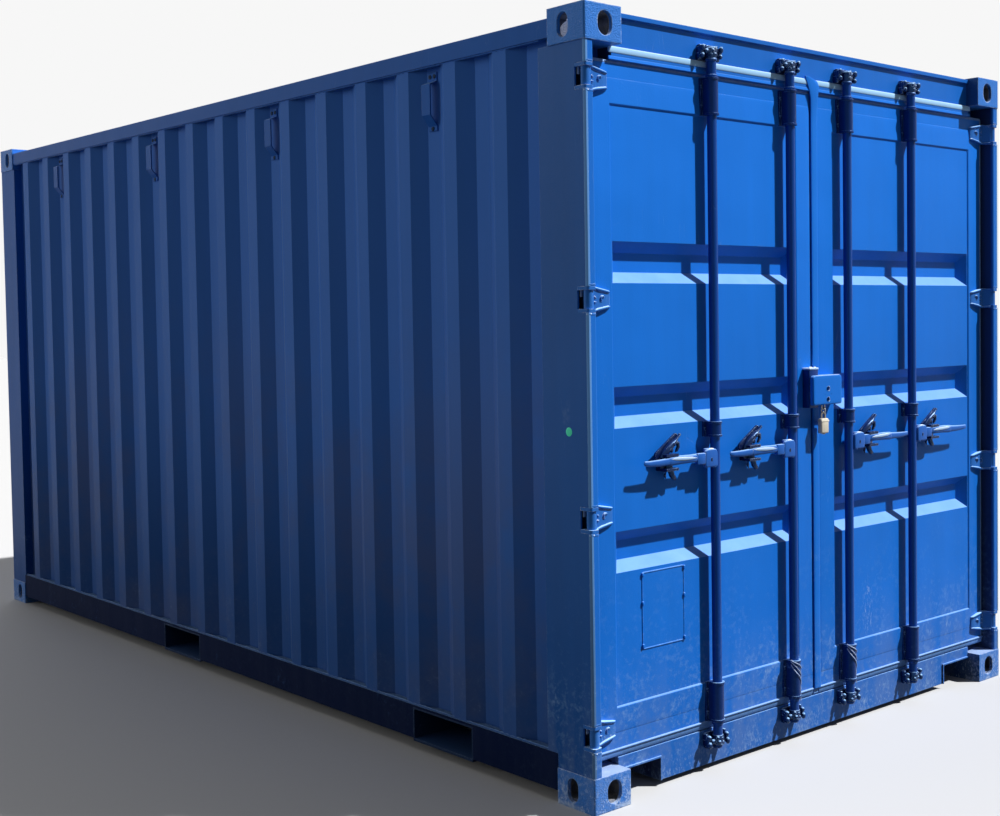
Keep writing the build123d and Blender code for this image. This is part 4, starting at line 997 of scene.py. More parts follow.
def dress(name: str, surface: Surface, finish: Finish, body: str, smooth: float = 35.0,
          instead_of: Sequence[str] = ()) -> None:
    """Makes a piece of the container from a surface.

    Args:
        name: the piece's name.
        surface: its mesh, in millimetres.
        finish: what it is made of.
        body: the CAD body that it rides on.
        smooth: faces that meet at less than this many degrees are shaded as one.
        instead_of: the CAD nodes that it stands for.
    """
    mesh = bpy.data.meshes.new(name)
    points = (surface.points * MM).astype(np.float32)
    mesh.vertices.add(len(points))
    mesh.vertices.foreach_set("co", points.ravel())
    corners = np.concatenate([g.ravel() for g in surface.groups]).astype(np.int32)
    sizes = np.concatenate([np.full(len(g), g.shape[1]) for g in surface.groups])
    starts = np.concatenate([[0], np.cumsum(sizes)[:-1]]).astype(np.int32)
    mesh.loops.add(len(corners))
    mesh.loops.foreach_set("vertex_index", corners)
    mesh.polygons.add(len(sizes))
    mesh.polygons.foreach_set("loop_start", starts)
    mesh.update(calc_edges=True)
    mesh.validate()
    weld(mesh)
    mesh.shade_smooth()
    mesh.set_sharp_from_angle(angle=math.radians(smooth))
    obj = bpy.data.objects.new(name, mesh)
    bpy.context.scene.collection.objects.link(obj)
    mesh.materials.append(finish.material())
    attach(obj, body)
    if instead_of:
        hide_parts(*instead_of)
    LOG.info("%s: %d faces on %s", name, len(mesh.polygons), body)


def dress_doors(name: str, right: Surface, finish: Finish, smooth: float = 35.0,
                instead_of: str = "") -> None:
    """Makes a piece on the right door and its mirror image on the left one.

    Args:
        name: the pieces' name, which follows the side's.
        right: the right door's mesh.
        finish: what they are made of.
        smooth: faces that meet at less than this many degrees are shaded as one.
        instead_of: the name, after the side's, of the CAD nodes that they stand for.
    """
    for side, left in (("right", False), ("left", True)):
        nodes = [f"{side}_{instead_of}"] if instead_of else []
        dress(f"{side}_{name}", right.sided(left), finish, f"{side}_door", smooth, nodes)


# The container's sub-assemblies


@dataclass
class Shell:
    """The CAD nodes that stay as they are and only get their finishes."""

    finishes: dict[Finish, tuple[str, ...]]

    def dress(self) -> None:
        """Gives each node its finish."""
        for finish, names in self.finishes.items():
            for name in names:
                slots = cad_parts[name].data.materials
                slots.clear()
                slots.append(finish.material())
            LOG.info("%s on %d nodes", finish.value.name, len(names))


SHELL = Shell({
    Finish.CAST: ("corner_castings_top", "corner_castings_bottom"),
    Finish.FRAME: ("door_posts", "door_header", "door_sill"),
    Finish.SIDE: ("end_posts", "top_side_rails", "end_header", "end_sill", "side_straps"),
    Finish.RAIL: ("bottom_side_rails",),
    Finish.WALL: ("left_side_wall", "right_side_wall", "end_wall"),
    Finish.ROOF: ("roof_sheet",),
    Finish.WOOD: ("floor_boards",),
    Finish.UNDER: ("cross_members", "fork_pockets"),
    Finish.LUG: ("hinge_lugs",),
    Finish.DOOR: ("left_door_frame", "left_door_panel", "right_door_frame", "right_door_panel"),
    Finish.SLEEVE: ("left_rod_brackets", "right_rod_brackets"),
    Finish.LATCH: ("left_handle_catches", "right_handle_catches"),
    Finish.SEAL: ("left_door_gasket", "right_door_gasket"),
})


@dataclass
class Studio:
    """The camera, the floor and the light.

    Attributes:
        eye, heading, down, roll: where the camera stands, in metres, and its angles in degrees.
        lens, sensor, shift, far: its lens and sensor in millimetres, shift, and reach in metres.
        lamps: each distant lamp's name, the way to it, its strength and how wide it looks.
        sky, white: the sky's strength as light, and as it is seen.
        floor_light, floor_seen: the floor's tone as it throws light back, and as it is seen.
        floor_half: half the floor's side, in metres.
    """

    eye: Place = (-4.1908, -5.6699, 1.6041)
    heading: float = -42.698
    down: float = 2.327
    roll: float = -0.796
    lens: float = 49.766
    sensor: float = 36.0
    shift: Pair = (-0.0835, -0.0363)
    far: float = 200.0
    lamps: tuple[tuple[str, Place, float, float], ...] = (
        ("key", (1.03, -1.0, 1.74), 5.6, 1.5),
        ("back_fill", (0.25, 1.0, 0.55), 1.2, 50.0),
        ("side_fill", (-1.0, 0.8, 0.25), 0.6, 40.0))
    sky: float = 0.12
    white: float = 0.93
    floor_light: float = 0.08
    floor_seen: float = 0.557
    floor_half: float = 60.0

    def camera(self) -> None:
        """Puts the camera where the photograph was taken, its axes from heading, tilt and roll."""
        az, el, roll = np.radians([self.heading, self.down, self.roll])
        ahead = np.array([-np.sin(az) * np.cos(el), np.cos(az) * np.cos(el), -np.sin(el)])
        right = np.cross(ahead, [0.0, 0.0, 1.0])
        right /= np.linalg.norm(right)
        up = np.cross(right, ahead)
        c, s = np.cos(roll), np.sin(roll)
        matrix = np.eye(4)
        matrix[:3, 0], matrix[:3, 1] = c * right + s * up, -s * right + c * up
        matrix[:3, 2], matrix[:3, 3] = -ahead, self.eye
        data = bpy.data.cameras.new("camera")
        data.lens, data.sensor_width, data.clip_end = self.lens, self.sensor, self.far
        data.shift_x, data.shift_y = self.shift
        camera = bpy.data.objects.new("camera", data)
        camera.matrix_world = matrix.T.tolist()
        bpy.context.scene.collection.objects.link(camera)
        bpy.context.scene.camera = camera

    def lamp(self, name: str, source: Place, strength: float, angle: float) -> None:
        """Adds a distant lamp.

        Args:
            name: its name.
            source: the direction towards it.
            strength: its strength in watts per square metre.
            angle: how wide it looks, in degrees.
        """
        data = bpy.data.lights.new(name, "SUN")
        data.energy, data.angle = strength, math.radians(angle)
        lamp = bpy.data.objects.new(name, data)
        lamp.rotation_euler = Vector(source).to_track_quat("Z", "Y").to_euler()
        bpy.context.scene.collection.objects.link(lamp)

    def seen(self, tree: bpy.types.NodeTree) -> bpy.types.NodeSocket:
        """1 for rays from the camera or a reflection, and 0 for the rays that carry light."""
        path = tree.nodes.new("ShaderNodeLightPath")
        total = path.outputs["Is Camera Ray"]
        for name in ("Is Glossy Ray", "Is Transmission Ray"):
            most = tree.nodes.new("ShaderNodeMath")
            most.operation = "MAXIMUM"
            tree.links.new(total, most.inputs[0])
            tree.links.new(path.outputs[name], most.inputs[1])
            total = most.outputs[0]
        return total

    def world(self) -> None:
        """A soft even sky that looks near white in itself and gives the object a little light."""
        world = bpy.data.worlds.new("studio")
        bpy.context.scene.world = world
        world.use_nodes = True
        tree = world.node_tree
        back = tree.nodes["Background"]
        back.inputs[0].default_value = (1.0, 1.0, 1.0, 1.0)
        ramp = tree.nodes.new("ShaderNodeMapRange")
        tree.links.new(self.seen(tree), ramp.inputs[0])
        ramp.inputs[3].default_value, ramp.inputs[4].default_value = self.sky, self.white
        tree.links.new(ramp.outputs[0], back.inputs[1])

    def floor(self) -> None:
        """A wide pale floor that takes the shadow and throws back only a little light."""
        half = self.floor_half
        corners = [(-half, -half, 0.0), (half, -half, 0.0), (half, half, 0.0), (-half, half, 0.0)]
        mesh = bpy.data.meshes.new("floor")
        mesh.from_pydata(corners, [], [(0, 1, 2, 3)])
        floor = bpy.data.objects.new("floor", mesh)
        bpy.context.scene.collection.objects.link(floor)
        recipe = Recipe("studio_floor")
        tone = recipe.blend(Wire(recipe, self.seen(recipe.tree)), (self.floor_light,) * 3,
                            (self.floor_seen,) * 3)
        recipe.feed(base_color=tone, roughness=0.9, specular_ior_level=0.0)
        mesh.materials.append(recipe.material)

    def build(self) -> None:
        """Makes them all."""
        self.camera()
        self.world()
        self.floor()
        for lamp in self.lamps:
            self.lamp(*lamp)
        bpy.context.scene.view_settings.view_transform = "Standard"


@dataclass
class PanelLips:
    """The proud edge of each leaf's frame round its pressed panel, with two dimples outside it."""

    inner: float = 113.0
    outer: float = 1060.0
    low: float = 314.0
    high: float = 2286.0
    rise: float = 5.0
    fade: float = 88.0

    def surface(self) -> Surface:
        """The right leaf's lip: a wedge round a rectangle, steep to the panel, faint outwards."""
        wedge = [(-self.fade, -0.4), (1.0, -0.4), (0.4, 0.3), (-4.2, self.rise - 0.6),
                 (-5.4, self.rise), (-7.4, self.rise), (-self.fade, 0.05)]
        corners = [(self.inner, self.low), (self.outer, self.low),
                   (self.outer, self.high), (self.inner, self.high)]
        dimple = lathe([(7, -0.4), (7, 1.0), (5.6, 1.6), (4.6, 0.4), (0, 0.3)], 14).facing_out()
        spots = [(self.outer + 6, self.high - 5), (self.outer + 6, self.low + 6)]
        return Surface.joined([sweep(wedge, at_depth(corners, LEAF_FACE), closed=True),
                               dimple.placed(at_depth(spots, LEAF_FACE))])

    def build(self) -> None:
        """Makes both leaves' lips."""
        dress_doors("panel_lip", self.surface(), Finish.DOOR)


@dataclass
class HeaderLip:
    """The header's rolled drip lip: a bright round along its top and a kicked-out foot."""

    half: float = 1069.0
    depth: float = 49.0
    top: float = 2474.0
    foot: float = 2431.0
    round_height: float = 21.0
    bulge: float = 2.6
    kick: Pair = (12.0, 2.0)

    def along(self, profile: Sequence[Pair], level: float) -> Surface:
        """A profile carried along the header at a level."""
        return sweep(profile, at_depth([(-self.half, level), (self.half, level)], self.depth))

    def build(self) -> None:
        """Makes both: the round's section is half an ellipse, and the foot's is a wedge."""
        half_round = self.round_height / 2
        nose = arc(0, 180, 13, (half_round, self.bulge), (0.3, 0.0))
        edge = self.along([*nose, (-4.0, -4.0), (4.0, -4.0)], self.top - half_round)
        # The round takes the pale lip paint: a painted highlight along the lip's lit top.
        dress("header_lip_edge", edge, Finish.EDGE, "root")
        tall, out = self.kick
        wedge = [(tall, -3.0), (tall, 0.2), (0.8, out), (0.0, out - 0.8), (0.0, -3.0)]
        dress("header_lip_foot", self.along(wedge, self.foot), Finish.DOOR, "root")


@dataclass
class SealLips:
    """The seals' rounded lips: the bead that catches the light under each leaf, and its skirt."""

    free_edges: Pair = (14.0, 24.0)
    outer: float = 1160.0
    bottom: float = 171.0
    top: float = 2420.0
    bead: float = 4.5

    def surface(self, inner: float) -> Surface:
        """A right leaf's lips.

        The skirt's section is a bead of half an ellipse over a flat that leans back as it goes
        down; it is carried along the leaf's bottom. A thinner one goes up the hinge side and along
        the top.

        Args:
            inner: where the leaf's free edge is.

        Returns:
            The mesh.
        """
        bead = arc(0, 180, 6, (4.0, self.bead), (0.0, 1.0))
        skirt = [(-24.0, -3.5), (4.0, -3.5), (4.0, 0.5), *bead[1:], (-5.0, 1.2), (-22.0, -1.6)]
        thin = [(11.0, -5.0), (6.0, -1.0), (2.0, 0.5), (-2.0, -1.0), (-2.0, -9.0), (11.0, -9.0)]
        sunk = [(a, b - 1.0) for a, b in thin]
        low = [(inner + 1, self.bottom), (self.outer + 9, self.bottom)]
        side = [(self.outer + 1, self.bottom - 8), (self.outer + 1, self.top)]
        head = [(inner + 1, self.top + 1), (self.outer + 9, self.top + 1)]
        return Surface.joined([sweep(profile, at_depth(path, LEAF_FACE))
                               for profile, path in ((skirt, low), (thin, side), (sunk, head))])

    def build(self) -> None:
        """Makes both leaves' lips, the left leaf's free edge being farther from the middle."""
        right, left = (self.surface(edge) for edge in self.free_edges)
        dress("right_seal_lip", right, Finish.SEAL, "right_door")
        dress("left_seal_lip", left.mirrored(), Finish.SEAL, "left_door")


@dataclass
class HingeForging:
    """The forged hinge blades, the post's lugs that hold their pins, and the notches' pads.

    Attributes:
        pin: the right pins' X and depth.
        knuckle: half the knuckle's height.
        marks_depth: how deep the blades' raised marks are.
        stations: X, front, back, half height and rib radius of each section of a blade.
    """

    pin: Pair = (1197.0, 22.0)
    knuckle: float = 41.5
    marks_depth: float = 44.5
    stations: tuple[tuple[float, float, float, float, float], ...] = (
        (1204.0, 10.0, 34.0, 39.0, 0.5), (1190.0, 10.0, 36.0, 39.5, 1.5),
        (1178.0, 17.0, 46.0, 40.0, 3.5), (1166.0, 36.0, 56.5, 41.0, 3.5),
        (1157.0, 45.5, 56.8, 43.0, 4.0), (1130.0, 46.0, 56.8, 38.0, 5.5),
        (1104.0, 47.0, 56.8, 33.0, 5.0), (1084.0, 48.0, 56.8, 29.0, 4.5),
        (1076.0, 51.0, 56.8, 27.0, 2.5), (1073.0, 56.0, 56.8, 25.0, 0.3))

    def blade(self) -> Surface:
        """One right blade: a plate that tapers away from its knuckle, with a rib along each edge.

        At a station the section's front runs at the plate's depth d; a rib of radius r at each edge
        puts the point at angle a to (z, d) = (+-(h - r) -+ r cos a, d - r sin a).
        """
        a = np.linspace(0, np.pi, 7)
        rows = []
        for x, front, back, half, rib in self.stations:
            low = -half + rib - rib * np.cos(a)
            bump = front - rib * np.sin(a)
            z = np.concatenate([[-half], low, -low[::-1], [half]])
            depth = np.concatenate([[back], bump, bump[::-1], [back]])
            rows.append(np.stack([np.full(len(z), x), at(0) + depth, z], axis=-1))
        body = grid(np.array(rows), close_v=True).reversed().capped(len(rows[0]))
        end = self.knuckle - 2.5
        knuckle = lathe([(0, -self.knuckle), (12.5, -self.knuckle), (15, -end), (15, end),
                         (12.5, self.knuckle), (0, self.knuckle)])
        return Surface.joined([body, knuckle.moved(self.pin[0], at(self.pin[1]))])

    def marks(self) -> Surface:
        """The raised marks on one right blade: two short ribs by the knuckle and a hooked one."""
        depth = self.marks_depth
        upper = forged([(1156, 6, 0, 0), (1148, 7, 4.5, 4), (1139, 5, 0, 0)], depth)
        lower = forged([(1156, -9, 0, 0), (1148, -10, 4, 3.6), (1139, -8, 0, 0)], depth)
        curve = arc(-80, 160, 9, (9, 9), (1112, 2))
        widths = 3.8 * np.sin(np.linspace(0, np.pi, len(curve)))
        return Surface.joined([upper, lower, limb(at_depth(curve, depth), widths, widths)])

    def lugs(self) -> Surface:
        """The right post's lugs above and below one knuckle."""
        return Surface.joined([block((1181, 1214.5), (2, 28), (42.5, 51), 4),
                               block((1181, 1214.5), (2, 30), (-53, -42.5), 4)])

    def shoulders(self) -> Surface:
        """The pale bits at one right notch: the lower lug's shoulder, a painted highlight, and the
        pad.
        """
        return Surface.joined([lump((1204, 10, -47), (13, 8.5, 6)),
                               block((1195, 1205.5), (49.5, 53.8), (8, 34), 2)])

    def build(self) -> None:
        """Makes the blades of both doors and the lugs and pads of both posts."""
        places = [(0, 0, z) for z in HINGE_LEVELS]
        blades = Surface.joined([self.blade(), self.marks()]).placed(places)
        dress_doors("hinges", blades, Finish.LUG, instead_of="hinge_blades")
        dress("post_lugs", self.lugs().placed(places).doubled(), Finish.LUG, "root")
        dress("hinge_pads", self.shoulders().placed(places).doubled(), Finish.WORN, "root")


@dataclass
class PostEdges:
    """The door posts' sharp front corners, painted pale between the hinge notches: rubbed paint and
    a highlight along the edge.
    """

    outer: float = 1215.0
    front: float = 3.0
    ends: Pair = (118.0, 2473.0)
    half_notch: float = 42.0

    def build(self) -> None:
        """Makes both posts' corners: a quarter round with a thin flap each way."""
        nose = arc(0, 90, 5, (2.5, 2.5), (-2.1, -2.1))
        profile = [(-10, -1), (-8, -4), (-3, -12), (0.4, -12), *nose, (-9, 0.4)]
        notches = [z + s * self.half_notch for z in HINGE_LEVELS for s in SIDES]
        stops = [self.ends[0], *notches, self.ends[1]]
        left = [sweep(profile, at_depth([(-self.outer, a), (-self.outer, b)], self.front))
                for a, b in zip(stops[::2], stops[1::2])]
        dress("post_edges", Surface.joined(left).doubled(), Finish.CORNER, "root")


@dataclass
class CamKeepers:
    """The forked keepers on header and sill and the lobed cam heads that turn between them."""

    ends: Pair = (2506.0, 106.0)
    rings: Pair = (165.5, 2418.5)

    def keeper(self) -> Surface:
        """One keeper about the rod's axis at level 0: a base, two hooked jaws and their fingers.

        Everything stays more than 24 mm from the axis at the cam's levels, so that it can turn.
        """
        return Surface.joined([
            block((-42, 42), (48.5, 57), (-30, 24), 3), block((-53, -42), (23, 36), (-16, 17), 4),
            block((42, 53), (23, 38), (-16, 19), 4), block((-50, -40), (32, 56), (-30, -4), 4),
            block((39, 50), (34, 56), (-28, -6), 4), block((-47, -40), (34, 56), (-20, 16), 3),
            block((40, 47), (34, 56), (-20, 16), 3), block((-46, 46), (38, 50), (17, 24), 3),
            lump((-46, 22, 10), (7.5, 9, 12)), lump((47, 21, 9), (8, 8, 12)),
            lump((-43, 24, -14), (7, 9, 9)), lump((47, 25, -17), (7.5, 10, 9)),
            lump((-32, 36, 20), (9, 9, 4)), lump((30, 35, 20), (8, 9, 4)),
            bolt(6, 4, 8).moved(-30, at(48.5), -18), bolt(6, 4, 8).moved(30, at(48.5), -16)])

    def cam(self) -> Surface:
        """One cam's head about the rod's axis: a hub, a nose and knobs, clear of the keeper."""
        hub = lathe([(0, -22), (18, -22), (20, -19), (20, 10), (17, 14), (0, 15)], 20)
        return Surface.joined([
            hub.moved(y=at(ROD_DEPTH)),
            lump((-9, 12, 6), (7, 6, 8)), lump((9, 11, 2), (7, 6, 7)),
            lump((-2, 11, -11), (8, 6, 6)), lump((13, 15, -13), (6, 6, 7)),
            lump((0, 14, 11), (12, 8, 4.5)), lump((23, 26, 0), (11, 8, 9))])

    def rod(self) -> Surface:
        """One rod about its axis: a long lathe with a ring by each end sleeve and by each cam."""
        ring = ((17, 0), (20, 0), (21, 1.5), (21, 6.5), (20, 8), (17, 8))
        low, high = ([(radius, foot + rise) for radius, rise in ring] for foot in self.rings)
        profile = [(0, 81), (14, 81), (17, 84), *low, (17, 700), (17, 1300), (17, 1900), *high,
                   (17, 2474), (20, 2475), (20.5, 2479), (18, 2483), (17, 2486), (17, 2518),
                   (14, 2522), (0, 2522)]
        return lathe(profile, 32).moved(y=at(ROD_DEPTH))

    def at_ends(self, shape: Surface) -> Surface:
        """A shape at a rod's top end, and the same one upside down at its bottom end."""
        upside = shape.turned(np.diag([1.0, 1.0, -1.0])).reversed()
        return Surface.joined([part.moved(z=z) for part, z in zip((shape, upside), self.ends)])

    def build(self) -> None:
        """Makes the keepers on the fixed frame, and the rods with their cam heads."""
        keepers = self.at_ends(self.keeper()).placed([(x, 0, 0) for x in RODS]).doubled()
        dress("keeper_forgings", keepers, Finish.FORGED, "root", instead_of=["cam_keepers"])
        cams, bar = self.at_ends(self.cam()), self.rod()
        for number, x, left in rods():
            body = f"lock_rod_{number}"
            dress(f"cam_heads_{number}", cams.moved(x).sided(left), Finish.FORGED, body)
            dress(f"rod_{number}", bar.moved(x).sided(left), Finish.GEAR, body, instead_of=[body])


@dataclass
class SleeveBolts:
    """The bolts that hold the rods' sleeves to the doors."""

    flange: float = 49.0
    levels: tuple[float, ...] = (206.0, 286.0, 1204.0, 2318.0, 2386.0)
    half_base: float = 28.5

    def build(self) -> None:
        """Makes both doors' bolts, a pair at each level of each rod."""
        places = [(x + s * self.half_base, at(self.flange), z)
                  for x in RODS for s in SIDES for z in self.levels]
        dress_doors("sleeve_bolts", bolt(5.2, 4.2, 6.8).placed(places), Finish.SLEEVE, 25)


@dataclass
class HandleLatches:
    """The seal latch that holds each handle, with the pin that it hangs on."""

    depth: float = 31.0
    right_foot: float = 77.0
    left_foot: float = -277.0

    def latch(self) -> Surface:
        """A latch with its foot at X = 0: an arm up to the right, its thumb, a hook and a claw."""
        arm = ((0, 1108, 0, 0), (12, 1122, 10, 9), (38, 1146, 13.5, 12), (62, 1164, 12, 12),
               (78, 1175, 8, 9), (90, 1186, 4.5, 6), (102, 1196, 5, 6), (107, 1200, 0, 0))
        thumb = ((60, 1160, 0, 0), (78, 1170, 8, 9), (92, 1168, 7, 8), (94, 1154, 6, 7),
                 (86, 1142, 5, 6), (78, 1136, 0, 0))
        hook = ((34, 1112, 0, 0), (44, 1092, 13, 11), (56, 1076, 11, 10), (62, 1060, 10, 10),
                (74, 1048, 8, 8), (80, 1040, 0, 0))
        claw = ((34, 1078, 0, 0), (28, 1062, 4.5, 5), (34, 1046, 0, 0))
        return Surface.joined([*(forged(rows, self.depth) for rows in (arm, thumb, hook, claw)),
                               dome(4, 4).moved(66, at(19.5), 1164),
                               lump((52, 22, 1146), (8, 5, 9))])

    def build(self) -> None:
        """Makes them for both doors; all lean the same way, so none is mirrored."""
        for side, feet in (("right", [x + self.right_foot for x in RODS]),
                           ("left", [self.left_foot - x for x in RODS])):
            latches = self.latch().placed([(x, 0, 0) for x in feet])
            dress(f"{side}_latches", latches, Finish.LATCH, f"{side}_door")


@dataclass
class Handles:
    """The rods' handles, with their pivots, what hands have rubbed bright on them, and the hubs'
    painted highlights.
    """

    level: float = 1106.0
    depth: float = 9.0

    def handle(self) -> Surface:
        """A right handle about its rod's axis: hub plate and bracket, tongue, bar and grip."""
        outline = rounded_outline((10, -31), (73, 31), [5, 14, 16, 5])
        plate = pressed(outline, [(0, 14), (0, 7), (1.6, 4.8), (4, 4)])
        back = pressed(outline, [(0, 14), (30, 14)], cap=False).reversed()
        bar = ((104, 6, 0, 0), (118, 6, 14, 5), (150, 6, 14, 6), (200, 6, 15, 6),
               (244, 4, 15, 6), (250, 3, 14, 5), (256, 3, 0, 0))
        grip = ((244, 4, 0, 0), (250, 4, 13, 5), (300, 3, 11.5, 4.5), (345, 4, 9.5, 4),
                (366, 6, 8, 3.5), (371, 7, 0, 0))
        return Surface.joined([
            plate, back,
            block((12, 46), (7, 44), (-26, 25), 5), block((24, 62), (6, 30), (24, 33), 4),
            block((70, 112), (5.5, 21), (-18, 20), 3), block((16, 30), (5, 30), (-34, -26), 3),
            forged(bar, self.depth, 12), forged(grip, self.depth, 12)])

    def wear(self) -> Surface:
        """What hands have rubbed on a right handle, a rib along the bar, and the hub's brow, a
        painted highlight.
        """
        rib = limb([(116, at(4), 7), (140, at(3.4), 8), (180, at(3), 9), (222, at(3.4), 11),
                    (248, at(4), 12)], [0, 4.5, 6, 5, 0], [0, 2.2, 2.8, 2.4, 0])
        return Surface.joined([rib, lump((40, 10, 31), (14, 5.5, 3.5))])

    def build(self) -> None:
        """Makes the four of them."""
        pieces = (("handle", self.handle(), Finish.BAR, True),
                  ("handle_pivot", lump((42, 4.2, -5), (5, 1.6, 8)), Finish.LATCH, False),
                  ("handle_rub_and_highlight", self.wear(), Finish.WORN, False))
        for number, x, left in rods():
            for name, shape, finish, replaces in pieces:
                dress(f"{name}_{number}", shape.moved(x, 0, self.level).sided(left), finish,
                      f"lock_rod_{number}", instead_of=[f"lock_handle_{number}"] * replaces)


@dataclass
class SealWires:
    """The seal wire on each inner rod's bottom sleeve.

    Attributes:
        thickness: half the wire's thickness.
        top: the level that its strands start from.
        strands: how far each starts below the top, how far it drops on the sleeve, its radius.
        wind, hang: how fast a strand goes round and, after that, down, as it runs from 0 to 1.
        tail: how far its tail hangs.
        sway: how far it strays up and down.
    """

    thickness: float = 1.9
    top: float = 312.0
    strands: tuple[Place, ...] = ((0.0, 62.0, 24.4), (10.0, 84.0, 24.8), (-8.0, 40.0, 25.0))
    wind: float = 1.7
    hang: float = 2.43
    tail: float = 60.0
    sway: float = 1.6

    def wire(self, rod: float) -> Surface:
        """A seal wire: strands that cross a sleeve's front, and tails that hang down.

        A strand goes round the sleeve from angle 190 to angle 330 (seen from above, 270 facing
        out) while it drops, and then straight down.

        Args:
            rod: X of the rod.

        Returns:
            The mesh.
        """
        t = np.linspace(0, 1, 40)
        wound = np.clip(t * self.wind, 0, 1)
        hung = self.tail * np.clip(t * self.hang - (self.hang - 1), 0, 1)
        a = np.radians(190 + 140 * wound)
        out = np.stack([np.cos(a), np.sin(a), np.zeros(len(t))], axis=-1)
        tubes = []
        for shift, drop, radius in self.strands:
            path = np.array([rod, at(ROD_DEPTH), 0.0]) + radius * out
            path[:, 2] = (self.top - shift - drop * wound - hung
                          + self.sway * np.sin(11 * t + shift))
            tubes.append(tube(path, self.thickness, out, 6))
        return Surface.joined(tubes)

    def build(self) -> None:
        """Makes one on each door, both wound the same way."""
        dress("left_seal_wire", self.wire(-RODS[0]), Finish.WIRE, "left_door")
        dress("right_seal_wire", self.wire(RODS[0]), Finish.WIRE, "right_door")


